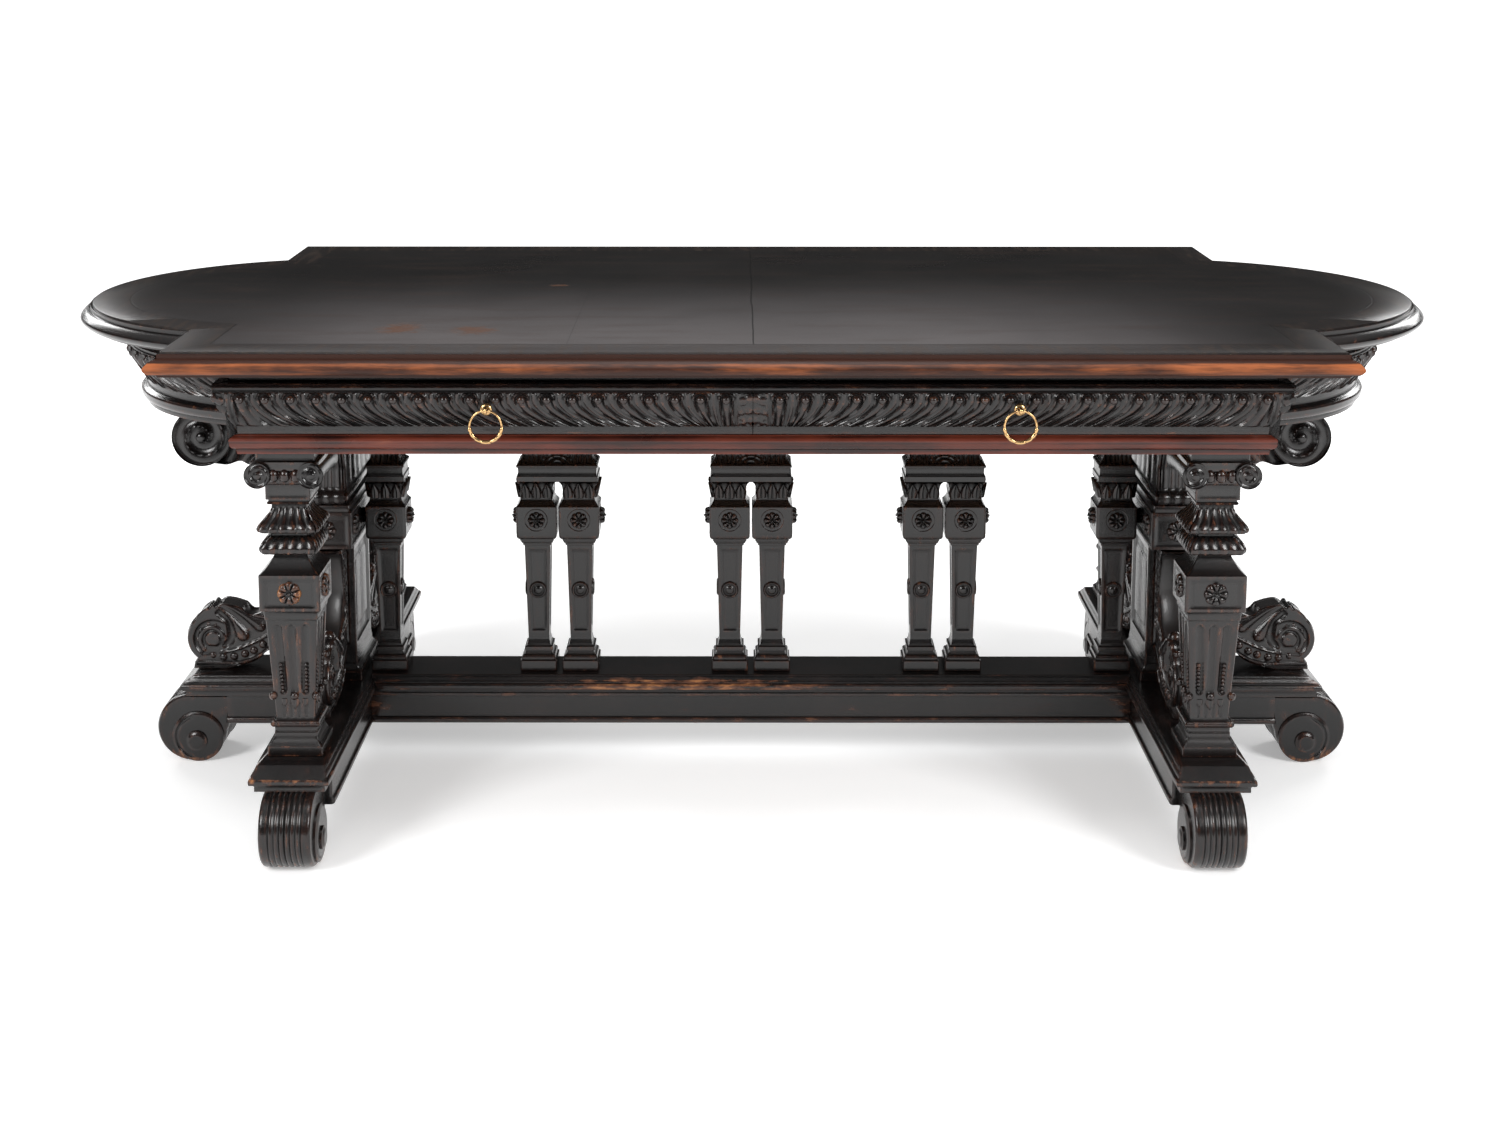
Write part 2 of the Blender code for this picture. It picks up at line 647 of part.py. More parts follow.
def add_beams(wood, worn_wood):
    cross = beam_levels(BEAM_HALF_WIDTH, BEAM_CAP_HALF_WIDTH)
    cross_levels = []
    out_levels = []
    for height, half_width in cross:
        reach = beam_reach(height, CROSS_BODY_REACH, CROSS_CAP_REACH)
        cross_levels.append((height, -half_width, half_width, -reach, reach))
        reach = beam_reach(height, OUT_BODY_REACH, OUT_CAP_REACH)
        out_levels.append((height, half_width + FIT, reach, -half_width, half_width))
    cross_mesh = stack_mesh("cross_beam", cross_levels)
    out_mesh = stack_mesh("out_beam", out_levels)
    for name, side in (("left", -1), ("right", 1)):
        place = (side * TRESTLE_X, 0.0, 0.0)
        turn = 0.0 if side > 0 else math.pi
        piece(f"{name}_cross_beam", cross_mesh, wood, place)
        piece(f"{name}_out_beam", out_mesh, wood, place, turn)
    stretcher = beam_levels(STRETCHER_HALF_DEPTH, STRETCHER_CAP_HALF_DEPTH)
    levels = []
    for (height, half_width), (_, half_depth) in zip(cross, stretcher):
        end = TRESTLE_X - half_width - FIT
        levels.append((height, -end, end, -half_depth, half_depth))
    piece("stretcher", stack_mesh("stretcher", levels), worn_wood)


def foot_mesh(name, cap_reach, body_reach, width):
    """A scroll foot under the end of a beam, with a round boss on each side of its scroll. The
    scroll is a many-sided round with one flat side on the floor."""
    half_step = FOOT_TURN / 2 / FOOT_STEPS
    rise = FOOT_RADIUS * math.cos(math.radians(half_step))
    centre = (cap_reach - FOOT_BACK_SETBACK, rise)
    heel = body_reach + FIT
    top = BEAM_CAP_BOTTOM - BEAM_QUIRK - FIT
    first = FOOT_TOP_ANGLE - 3 * half_step
    last = FOOT_HEEL_ANGLE + half_step
    steps = round((first - last) / (2 * half_step))
    outline = [(heel, top), (centre[0] + FOOT_BACK_SETBACK, top)]
    outline += scroll_outline(centre, FOOT_RADIUS, first, last, steps)
    outline.append((max(heel, centre[0] - rise), BEAM_BOTTOM))
    half = width / 2
    slab = slab_mesh(name, outline, half, (1.0, 0.0, 0.0), (0.0, 1.0, 0.0))
    out = half + EYE_BOSS_OUT
    boss = rod_mesh(
        "boss", (centre[0], -out, centre[1]), (centre[0], out, centre[1]), EYE_BOSS_RADIUS, PIN_STEPS
    )
    return combined(slab, [boss], "UNION")


def add_feet(wood):
    cross_foot = foot_mesh("cross_foot", CROSS_CAP_REACH, CROSS_BODY_REACH, FOOT_WIDTH)
    out_foot = foot_mesh("out_foot", OUT_CAP_REACH, OUT_BODY_REACH, OUTER_FOOT_WIDTH)
    quarter = math.pi / 2
    for name, side in (("left", -1), ("right", 1)):
        place = (side * TRESTLE_X, 0.0, 0.0)
        piece(f"{name}_front_foot", cross_foot, wood, place, -quarter)
        piece(f"{name}_back_foot", cross_foot, wood, place, quarter)
        piece(f"{name}_outer_foot", out_foot, wood, place, 0.0 if side > 0 else math.pi)


def square_levels(shares, bottom, height, width):
    """Levels of a square post from its shares."""
    levels = []
    for up, across in shares:
        half = across * width / 2
        levels.append((bottom + up * height, -half, half, -half, half))
    return levels


def add_legs(wood):
    leg = stack_mesh("leg", square_levels(LEG_SHARES, LEG_BOTTOM, LEG_HEIGHT, LEG_WIDTH))
    for name, side in (("left", -1), ("right", 1)):
        for end, way in (("front", -1), ("back", 1)):
            piece(f"{name}_{end}_leg", leg, wood, (side * TRESTLE_X, way * LEG_Y, 0.0))


def add_piers(wood):
    """A post in the middle of each trestle. The block over its shaft is deeper than the shaft, and
    the head reaches out further to front and back."""
    levels = []
    for up, share in PIER_SHARES:
        half_width = PIER_HALF_WIDTH * share
        full_depth = PIER_HALF_DEPTH if up > PIER_SHAFT_TOP_SHARE else PIER_FOOT_HALF_DEPTH
        levels.append((up, half_width, full_depth - PIER_HALF_WIDTH + half_width))
    neck = PIER_HALF_WIDTH * PIER_NECK_SHARE
    for up, share in PIER_HEAD_SHARES:
        levels.append((up, neck, PIER_HALF_DEPTH + share * (PIER_HEAD_REACH - PIER_HALF_DEPTH)))
    mesh = stack_mesh(
        "pier",
        [
            (LEG_BOTTOM + up * LEG_HEIGHT, -half_width, half_width, -half_depth, half_depth)
            for up, half_width, half_depth in levels
        ],
    )
    for name, side in (("left", -1), ("right", 1)):
        piece(f"{name}_pier", mesh, wood, (side * TRESTLE_X, 0.0, 0.0))


def console_mesh(name, root, base_root, top_reach):
    """A scroll console standing on a beam: from its base round the volute, over the dip of its
    leaf and up a hollow curve along the shaft of the pier to its top."""
    base_top = LEG_BOTTOM + CONSOLE_BASE_HEIGHT
    centre = (CONSOLE_VOLUTE_REACH, LEG_BOTTOM + CONSOLE_VOLUTE_RADIUS + FIT)
    base_angle = math.degrees(math.asin((base_top - centre[1]) / CONSOLE_VOLUTE_RADIUS))
    outline = [
        (base_root, LEG_BOTTOM),
        (CONSOLE_BASE_REACH, LEG_BOTTOM),
        (CONSOLE_BASE_REACH, base_top),
    ]
    outline += scroll_outline(
        centre, CONSOLE_VOLUTE_RADIUS, base_angle, CONSOLE_VOLUTE_END_ANGLE, CONSOLE_STEPS
    )
    for across, up in CONSOLE_CURVE_SHARES:
        reach = root + across * (CONSOLE_DIP_REACH - root)
        height = CONSOLE_DIP_HEIGHT + up * (CONSOLE_TOP_HEIGHT - CONSOLE_DIP_HEIGHT)
        outline.append((reach, LEG_BOTTOM + height))
    outline.append((top_reach, LEG_BOTTOM + CONSOLE_TOP_HEIGHT))
    outline.append((root, LEG_BOTTOM + CONSOLE_TOP_HEIGHT))
    foot_height = LEG_BOTTOM + LEG_HEIGHT * PIER_FOOT_SHARE + CONSOLE_FOOT_GAP
    outline += [(root, foot_height), (base_root, foot_height)]
    return slab_mesh(name, outline, CONSOLE_WIDTH / 2, (1.0, 0.0, 0.0), (0.0, 1.0, 0.0))


def add_consoles(wood):
    root = PIER_SHAFT_HALF_WIDTH + FIT
    side_top = root + CONSOLE_TOP_THICKNESS
    side_console = console_mesh("side_console", root, PIER_HALF_WIDTH + FIT, side_top)
    root = PIER_SHAFT_HALF_DEPTH + FIT
    base_root = PIER_FOOT_HALF_DEPTH + FIT
    end_console = console_mesh("end_console", root, base_root, END_CONSOLE_TOP_REACH)
    quarter = math.pi / 2
    for name, side in (("left", -1), ("right", 1)):
        place = (side * TRESTLE_X, 0.0, 0.0)
        piece(f"{name}_front_console", end_console, wood, place, -quarter)
        piece(f"{name}_back_console", end_console, wood, place, quarter)
        piece(f"{name}_outer_console", side_console, wood, place, 0.0 if side > 0 else math.pi)


def add_brackets(wood):
    """A scroll bracket from the head of each pier out under the lobe."""
    top = APRON_BOTTOM - FIT
    centre = (BRACKET_VOLUTE_REACH, top - BRACKET_VOLUTE_DROP)
    root = PIER_HALF_WIDTH * PIER_NECK_SHARE + FIT
    outline = []
    for across, drop in BRACKET_CURVE_SHARES:
        reach = root + across * (BRACKET_VOLUTE_REACH - root)
        outline.append((reach, top - drop * BRACKET_LEAF_DROP))
    outline += scroll_outline(
        centre,
        BRACKET_VOLUTE_RADIUS,
        BRACKET_VOLUTE_START_ANGLE,
        BRACKET_VOLUTE_END_ANGLE,
        CONSOLE_STEPS,
    )
    outline += [(BRACKET_VOLUTE_REACH - BRACKET_VOLUTE_RADIUS * 2, top), (root, top)]
    mesh = slab_mesh("bracket", outline, BRACKET_WIDTH / 2, (1.0, 0.0, 0.0), (0.0, 1.0, 0.0))
    for name, side in (("left", -1), ("right", 1)):
        turn = 0.0 if side > 0 else math.pi
        piece(f"{name}_upper_bracket", mesh, wood, (side * TRESTLE_X, 0.0, 0.0), turn)


def pilaster_mesh(name, spread):
    """One or two tapered pilasters under a shared bracket head."""
    shaft_height = LEG_HEIGHT - PILASTER_HEAD_HEIGHT
    head_bottom = LEG_BOTTOM + shaft_height
    half_width = spread + PILASTER_WIDTH / 2
    levels = []
    for up, share in PILASTER_HEAD_SHARES:
        half = half_width - (1 - share) * PILASTER_WIDTH
        depth = share * PILASTER_WIDTH / 2
        levels.append((head_bottom + up * PILASTER_HEAD_HEIGHT, -half, half, -depth, depth))
    head = stack_mesh(name, levels)
    shafts = []
    for way in ((-1, 1) if spread else (0,)):
        levels = square_levels(
            PILASTER_SHARES, LEG_BOTTOM, shaft_height + PILASTER_HEAD_LAP, PILASTER_WIDTH
        )
        shift = way * spread
        levels = [(z, x0 + shift, x1 + shift, y0, y1) for z, x0, x1, y0, y1 in levels]
        shafts.append(stack_mesh("shaft", levels))
    return combined(head, shafts, "UNION")


def add_arcade(wood):
    pair = pilaster_mesh("pilaster_pair", PILASTER_SPREAD)
    single = pilaster_mesh("pilaster", 0.0)
    for name, x in (("left", -PILASTER_PAIR_X), ("middle", 0.0), ("right", PILASTER_PAIR_X)):
        piece(f"{name}_pilaster_pair", pair, wood, (x, 0.0, 0.0))
    for name, side in (("left", -1), ("right", 1)):
        piece(f"{name}_end_pilaster", single, wood, (side * PILASTER_END_X, 0.0, 0.0))


def main():
    clear_scene()
    ebonised = finish("ebonised_walnut", (0.022, 0.020, 0.019), 0.34)
    worn = finish("worn_walnut", (0.085, 0.045, 0.028), 0.38)
    plain_wood = finish("inner_wood", (0.23, 0.14, 0.08), 0.6)
    brass = finish("brass", (0.62, 0.42, 0.19), 0.3, 1.0)
    add_top(ebonised, worn)
    add_frieze(ebonised, worn)
    add_carcass(plain_wood)
    add_drawer("left_drawer", -1, ebonised, plain_wood, brass)
    add_drawer("right_drawer", 1, ebonised, plain_wood, brass)
    add_beams(ebonised, worn)
    add_feet(ebonised)
    add_legs(ebonised)
    add_piers(ebonised)
    add_consoles(ebonised)
    add_brackets(ebonised)
    add_arcade(ebonised)


main()
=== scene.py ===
"""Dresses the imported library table: carved ebonised walnut with worn edges, and brass ring pulls.

Metres, +Z up, front at -Y. Shapes are worked out with numpy on grids of points. A Shape holds the
points, the faces between them, how far each point stands proud, and how worn it is.
"""

import math

import bpy
import numpy as np
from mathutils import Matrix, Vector


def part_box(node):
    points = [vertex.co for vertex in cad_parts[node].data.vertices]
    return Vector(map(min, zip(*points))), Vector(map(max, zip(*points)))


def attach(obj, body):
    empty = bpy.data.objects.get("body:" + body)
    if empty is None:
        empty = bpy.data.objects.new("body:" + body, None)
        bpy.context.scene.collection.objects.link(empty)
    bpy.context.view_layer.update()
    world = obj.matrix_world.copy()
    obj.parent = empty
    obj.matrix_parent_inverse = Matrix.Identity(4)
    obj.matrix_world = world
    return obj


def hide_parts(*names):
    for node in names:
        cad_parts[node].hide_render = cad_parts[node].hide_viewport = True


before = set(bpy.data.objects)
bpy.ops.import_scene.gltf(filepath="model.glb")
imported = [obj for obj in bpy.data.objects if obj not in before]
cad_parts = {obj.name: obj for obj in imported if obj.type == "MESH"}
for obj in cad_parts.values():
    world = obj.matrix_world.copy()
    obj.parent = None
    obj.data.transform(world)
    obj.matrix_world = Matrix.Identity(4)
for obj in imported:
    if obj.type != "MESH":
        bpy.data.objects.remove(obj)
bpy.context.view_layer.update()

# Camera of the photograph
CAMERA_PLACE = (-0.0202, -3.3727, 1.3551)
CAMERA_DROP = 0.1566
CAMERA_TURN = 0.0027
CAMERA_LENS = 50.24
CAMERA_SHIFT = (0.0112, -0.195)

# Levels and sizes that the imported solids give
TOP_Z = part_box("top_panel")[1].z
PANEL_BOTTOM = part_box("top_panel")[0].z
TOP_HALF_DEPTH = -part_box("top_panel")[0].y
TOP_LOBE_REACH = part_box("top_panel")[1].x
APRON_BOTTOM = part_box("front_lower_rail")[0].z
NECK_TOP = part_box("front_top_rail")[1].z
NECK_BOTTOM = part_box("front_top_rail")[0].z
LEG_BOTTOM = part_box("left_front_leg")[0].z
LEG_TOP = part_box("left_front_leg")[1].z
LEG_HEIGHT = LEG_TOP - LEG_BOTTOM
LEG_CENTRE = (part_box("left_front_leg")[0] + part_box("left_front_leg")[1]) / 2
TRESTLE_X = -LEG_CENTRE.x
LEG_Y = -LEG_CENTRE.y
BEAM_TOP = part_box("stretcher")[1].z
BEAM_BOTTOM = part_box("stretcher")[0].z
PAIR_X = (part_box("right_pilaster_pair")[0].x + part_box("right_pilaster_pair")[1].x) / 2
END_PILASTER_X = (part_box("right_end_pilaster")[0].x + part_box("right_end_pilaster")[1].x) / 2

# Outlines in plan: half length, half depth, lobe radius
LOBE_CENTRE_X = 0.698
TOP_SIZES = (0.829, TOP_HALF_DEPTH, TOP_LOBE_REACH - LOBE_CENTRE_X)
FRIEZE_SIZES = (0.740, 0.445, 0.283)
FRIEZE_THICKNESS = 0.022
MITRE_EASE = 0.0004
DRAWER_EASE = 0.0008

# Steps along the sections' lines
STEP = 0.0016
EDGE_STEP = 0.0009
HEAD_STEP = 0.0018
BEAM_STEP = 0.0020
BAND_STEP = 0.0023
PILASTER_STEP = 0.0025
LEG_STEP = 0.0026
PIER_STEP = 0.0028

# Numbers of points: on a smooth line, on a lobed end's returns and arc, along a straight moulding
LINE_POINTS = 90
RETURN_ROWS = 24
LOBE_ROWS = 120
MOULDING_ROWS = 140

# How far a fully proud place stands out, and how far a post's corner is drawn in
FULL_RELIEF = 0.0005
CORNER_EASE = 0.0007
# The shares from which a place counts as a corner or a rim
AT_CORNER = 0.999
AT_RIM = 0.999
# How near a lobed end's corner a place along it lies, to be drawn back there
AT_MITRE = 1e-6
# How far the rims of applied discs and leaves go into the wood
DISC_SINK = 0.002
LEAF_SINK = 0.001
LEAF_POINTS = 9
# Numbers of points round and across a roll's end, and the share of its radius where they start
ROLL_ANGLES = 52
ROLL_RINGS = 15
ROLL_MIDDLE = 0.06
PETALS = 8
SHARP_DEGREES = 38
TINY = 1e-12
SIDES = (("left", -1), ("right", 1))
ENDS = (("front", -1), ("back", 1))
WAYS = (-1, 1)


class Shape:
    """Points, the quads and triangles between them, and the relief and the wear of each point."""

    def __init__(self, points, quads, fans, relief, wear=None):
        self.points = points
        self.quads = quads
        self.fans = fans
        self.relief = relief
        self.wear = np.zeros(len(points)) if wear is None else wear

    def volume(self):
        """Sum over the triangles of the box product of their corners, a sixth of it."""
        halves = [self.quads[:, (0, 1, 2)], self.quads[:, (0, 2, 3)], self.fans]
        corners = self.points[np.concatenate(halves)]
        return np.einsum("ij,ij->", corners[:, 0], np.cross(corners[:, 1], corners[:, 2])) / 6

    def outward(self):
        """The same shape with its faces turned out, if they enclose it from the inside."""
        if self.volume() < 0:
            quads, fans = self.quads[:, ::-1], self.fans[:, ::-1]
            return Shape(self.points, quads, fans, -self.relief, self.wear)
        return self

    def placed(self, matrix=np.eye(3), shift=(0.0, 0.0, 0.0)):
        """Each point times a matrix, plus a shift. A mirroring matrix turns the faces too."""
        points = self.points @ np.asarray(matrix, float).T + np.asarray(shift, float)
        quads, fans = self.quads, self.fans
        if np.linalg.det(matrix) < 0:
            quads, fans = quads[:, ::-1], fans[:, ::-1]
        return Shape(points, quads, fans, self.relief, self.wear)

    def worn(self, amount):
        """The same shape with its wear set, as a number or an array over the points."""
        wear = np.broadcast_to(amount, self.relief.shape)
        return Shape(self.points, self.quads, self.fans, self.relief, wear)


def joined(*shapes):
    """Several shapes as one."""
    starts = np.cumsum([0] + [len(shape.points) for shape in shapes[:-1]])
    return Shape(
        np.concatenate([shape.points for shape in shapes]),
        np.concatenate([shape.quads + start for shape, start in zip(shapes, starts)]),
        np.concatenate([shape.fans + start for shape, start in zip(shapes, starts)]),
        np.concatenate([shape.relief for shape in shapes]),
        np.concatenate([shape.wear for shape in shapes]),
    )


def neighbour_mean(points, wrapped, reach):
    """The mean of the four grid points that lie reach steps away; edges repeat."""
    modes = ["wrap" if way else "edge" for way in wrapped]
    tall = np.pad(points, ((reach, reach), (0, 0), (0, 0)), mode=modes[0])
    wide = np.pad(points, ((0, 0), (reach, reach), (0, 0)), mode=modes[1])
    return (tall[2 * reach:] + tall[:-2 * reach] + wide[:, 2 * reach:] + wide[:, :-2 * reach]) / 4


def grid_relief(points, wrapped):
    """How far a point stands out from the mean of its neighbours along the surface normal, as a
    share of half a millimetre, from -1 to 1."""
    along = np.roll(points, -1, 0) - np.roll(points, 1, 0)
    across = np.roll(points, -1, 1) - np.roll(points, 1, 1)
    if not wrapped[0]:
        along = np.gradient(points, axis=0)
    if not wrapped[1]:
        across = np.gradient(points, axis=1)
    normal = np.cross(across, along)
    normal /= np.linalg.norm(normal, axis=2, keepdims=True) + TINY
    proud = np.einsum("ijk,ijk->ij", points - neighbour_mean(points, wrapped, 2), normal)
    return np.clip(proud / FULL_RELIEF, -1.0, 1.0)


def sheet(points, wrapped=(False, True), capped=True):
    """A grid of points, rows by columns, with quads between neighbours. The wrapped directions
    close on themselves, and capped end rows close on their own middle with a fan."""
    rows, columns = points.shape[:2]
    row = np.arange(rows if wrapped[0] else rows - 1)[:, None]
    column = np.arange(columns if wrapped[1] else columns - 1)[None, :]
    next_row, next_column = (row + 1) % rows, (column + 1) % columns
    corners = (
        row * columns + column,
        row * columns + next_column,
        next_row * columns + next_column,
        next_row * columns + column,
    )
    quads = np.stack(np.broadcast_arrays(*corners), axis=-1).reshape(-1, 4)
    relief = grid_relief(points, wrapped).ravel()
    flat = points.reshape(-1, 3)
    fans = np.zeros((0, 3), int)
    if capped and not wrapped[0]:
        first = np.arange(columns)
        last = first + (rows - 1) * columns
        middle = np.full(columns, rows * columns)
        flat = np.concatenate([flat, points[0].mean(0)[None], points[-1].mean(0)[None]])
        relief = np.concatenate([relief, (0.0, 0.0)])
        fans = np.concatenate(
            [
                np.stack([np.roll(first, -1), first, middle], axis=1),
                np.stack([last, np.roll(last, -1), middle + 1], axis=1),
            ]
        )
    return Shape(flat, quads, fans, relief).outward()


def woven(x, y, z, wrapped=(False, True), capped=True):
    """A sheet through three grids of coordinates, after they are broadcast to one shape."""
    return sheet(np.stack(np.broadcast_arrays(x, y, z), axis=-1), wrapped, capped)


def full_turn(count):
    """Angles all round, evenly spaced; the last one doesn't repeat the first."""
    return np.linspace(0, 2 * math.pi, count, endpoint=False)


def ease(value, low, high):
    """0 below low, 1 above high, and 3 t squared less 2 t cubed between; low may be the higher."""
    t = np.clip((value - low) / (high - low), 0.0, 1.0)
    return t * t * (3 - 2 * t)


def window(value, low, high, soft):
    """1 between low and high and 0 outside, with soft edges."""
    return ease(value, low - soft / 2, low + soft / 2) * ease(value, high + soft / 2, high - soft / 2)


def hump(share):
    """A rounded bump: the root of one less the share squared, eased at its foot."""
    return np.clip(1 - share ** 2, 0, 1) ** 0.65


def half_round(share):
    """A half circle: the square root of one less the share squared."""
    return np.sqrt(np.clip(1 - share ** 2, 0, 1))


def bell(share):
    """A bell curve: e to the power of minus the share squared."""
    return np.exp(-(share ** 2))


def arches(phase, power):
    """Arches side by side: the size of the phase's sine, to a power."""
    return np.abs(np.sin(phase)) ** power


def bow(keys, step=STEP):
    """A closely spaced line through keys of (along, out, bulge). Between two keys it bows to the
    outer side by bulge times the sine of the share of the way."""
    alongs, outs = [], []
    for (start, out, _), (end, next_out, bulge) in zip(keys, keys[1:]):
        length = math.hypot(end - start, next_out - out)
        count = max(2, math.ceil(length / step))
        share = np.arange(count) / count
        swell = bulge * np.sin(math.pi * share)
        alongs.append(start + (end - start) * share - swell * (next_out - out) / length)
        outs.append(out + (next_out - out) * share + swell * (end - start) / length)
    alongs.append([keys[-1][0]])
    outs.append([keys[-1][1]])
    return np.concatenate(alongs), np.concatenate(outs)


def smooth_line(points, count):
    """A curve through points: cubic between them, with each tangent half of its neighbours' gap."""
    points = np.asarray(points, float)
    tangent = np.gradient(points, axis=0)
    place = np.linspace(0, len(points) - 1, count)
    index = np.minimum(place.astype(int), len(points) - 2)
    t = (place - index)[:, None]
    start, end = points[index], points[index + 1]
    first, last = tangent[index], tangent[index + 1]
    return (
        start * (2 * t ** 3 - 3 * t ** 2 + 1)
        + first * (t ** 3 - 2 * t ** 2 + t)
        + end * (3 * t ** 2 - 2 * t ** 3)
        + last * (t ** 3 - t ** 2)
    )


def arc(centre, radius, start, end, count):
    """Points on an arc, angles in degrees from the first axis."""
    angle = np.radians(np.linspace(start, end, count))
    line = [centre[0] + radius * np.cos(angle), centre[1] + radius * np.sin(angle)]
    return np.stack(line, axis=-1)


def near_line(x, y, stations):
    """For each point, its distance from a smooth line through stations of (x, y, width), as a
    share of the width at the nearest place."""
    line = smooth_line(stations, LINE_POINTS)
    gap = np.hypot(x[..., None] - line[:, 0], y[..., None] - line[:, 1]) / line[:, 2]
    return gap.min(axis=-1)


def square_ring(columns):
    """Points on a unit square: their place along each side, their side, and the point."""
    share = (np.arange(columns) + 0.5) / columns
    along = np.tile(np.concatenate([[-1.0], share * 2 - 1]), 4)
    side = np.repeat(np.arange(4), columns + 1)
    normal = np.array([(0, -1), (1, 0), (0, 1), (-1, 0)])[side]
    tangent = np.array([(1, 0), (0, 1), (-1, 0), (0, -1)])[side]
    return along, side, normal + tangent * along[:, None]


def post(heights, half_x, half_y=None, columns=12, carving=None):
    """A post of square or oblong section: each point of a unit square ring is scaled by the half
    widths at its height, plus the carving there. Corners are eased by pulling them in."""
    half_y = half_x if half_y is None else half_y
    along, side, square = square_ring(columns)
    depth = np.zeros((len(heights), len(along)))
    if carving:
        half = np.where(side % 2 == 0, half_x[:, None], half_y[:, None])
        depth = depth + carving(heights[:, None], along[None, :], side[None, :], half)
    depth = depth - CORNER_EASE * (np.abs(along) > AT_CORNER)
    x = square[:, 0] * (half_x[:, None] + depth)
    y = square[:, 1] * (half_y[:, None] + depth)
    return woven(x, y, heights[:, None])


def relief_disc(radius, height, angles=32, rings=8):
    """A round carving that faces +Z: each point's height is a function of its distance and
    angle, and the outer ring goes down into the wood."""
    share = np.linspace(1.0, 0.04, rings)
    distance = np.concatenate([[1.0], share])[:, None] * np.ones(angles)
    turn = np.ones(rings + 1)[:, None] * full_turn(angles)
    up = height(distance, turn) + np.zeros_like(distance)
    up[0] = -DISC_SINK
    return woven(radius * distance * np.cos(turn), radius * distance * np.sin(turn), up)


def rosette(radius, depth):
    """Petals round a boss: the rim is scalloped and every petal is a hump across the angle and
    the distance, with a groove between two petals."""

    def height(distance, angle):
        lobe = np.abs(np.cos(PETALS * angle / 2)) ** 0.55
        petal = (0.25 + 0.75 * lobe) * hump((distance - 0.62) / 0.44)
        boss = 1.1 * hump(distance / 0.24)
        ring = 0.35 * hump((distance - 0.30) / 0.10)
        return depth * np.maximum.reduce([petal * 0.85, boss, ring]) * (distance < AT_RIM)

    flower = relief_disc(radius, height, angles=PETALS * 8, rings=12)
    angle = np.arctan2(flower.points[:, 1], flower.points[:, 0])
    scallop = 0.90 + 0.10 * np.abs(np.cos(PETALS * angle / 2)) ** 0.5
    flower.points[:, :2] *= scallop[:, None]
    return flower


def ball(radius, stretch=1.0, rings=7, angles=10):
    """A ball: latitude rows by longitude columns, with small rings closed at the poles."""
    latitude = np.linspace(-0.47, 0.47, rings)[:, None] * math.pi
    longitude = full_turn(angles)[None, :]
    x = radius * np.cos(latitude) * np.cos(longitude)
    y = radius * np.cos(latitude) * np.sin(longitude)
    return woven(x, y, radius * stretch * np.sin(latitude))


def facing(side):
    """The matrix that turns a carving's +Z to one side of a post, and its +Y up."""
    normal = np.array([(0, -1, 0), (1, 0, 0), (0, 1, 0), (-1, 0, 0)][side], float)
    up = np.array([0.0, 0.0, 1.0])
    return np.stack([np.cross(up, normal), up, normal], axis=1)


MIRROR_X = np.diag([-1.0, 1.0, 1.0])
MIRROR_Y = np.diag([1.0, -1.0, 1.0])


def outward(side):
    """The matrix that leaves +X as it is on the right side and mirrors it on the left."""
    return np.diag([float(side), 1.0, 1.0])


def lobed_place(along, out, sizes, side):
    """The place on a lobed end at a distance along its base outline, measured from the lobe's
    middle, and at a projection from it. The arc's half angle is the arc cosine of the straight
    side's reach over the radius, and a return runs straight from the arc to the corner."""
    base_length, base_depth, base_radius = sizes
    base_angle = math.acos((base_length - LOBE_CENTRE_X) / base_radius)
    arc_length = base_radius * base_angle
    return_length = base_depth - base_radius * math.sin(base_angle)
    half_length, half_depth, radius = (size + out for size in sizes)
    half_angle = np.arccos((half_length - LOBE_CENTRE_X) / radius)
    far = np.abs(along)
    turn = np.clip(far / arc_length, 0, 1) * half_angle
    way = np.clip((far - arc_length) / return_length, 0, 1)
    arc_end = radius * np.sin(half_angle)
    x = np.where(far < arc_length, LOBE_CENTRE_X + radius * np.cos(turn), half_length)
    straight = arc_end + way * (half_depth - arc_end)
    y = np.where(far < arc_length, radius * np.sin(turn), straight) * np.sign(along)
    return side * x, y


def lobed_length(sizes):
    """Half the length of a lobed end's base outline, from the lobe's middle to the corner."""
    half_angle = math.acos((sizes[0] - LOBE_CENTRE_X) / sizes[2])
    return sizes[2] * half_angle + sizes[1] - sizes[2] * math.sin(half_angle)


def finished(name, shape, finish, body="table_frame", nodes=()):
    """Makes a shape an object with its finish, its body and the solids it stands for."""
    mesh = bpy.data.meshes.new(name)
    corners = np.concatenate([shape.quads.ravel(), shape.fans.ravel()])
    sizes = np.concatenate([np.full(len(shape.quads), 4), np.full(len(shape.fans), 3)])
    mesh.vertices.add(len(shape.points))
    mesh.vertices.foreach_set("co", shape.points.ravel().astype(np.float32))
    mesh.loops.add(len(corners))
    mesh.loops.foreach_set("vertex_index", corners.astype(np.int32))
    mesh.polygons.add(len(sizes))
    mesh.polygons.foreach_set("loop_start", (np.cumsum(sizes) - sizes).astype(np.int32))
    mesh.update(calc_edges=True)
    for title, values in (("relief", shape.relief), ("wear", shape.wear)):
        layer = mesh.attributes.new(title, "FLOAT", "POINT")
        layer.data.foreach_set("value", np.ascontiguousarray(values, np.float32))
    mesh.materials.append(finish)
    mesh.shade_smooth()
    mesh.set_sharp_from_angle(angle=math.radians(SHARP_DEGREES))
    obj = bpy.data.objects.new(name, mesh)
    bpy.context.scene.collection.objects.link(obj)
    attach(obj, body)
    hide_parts(*nodes)
    return obj


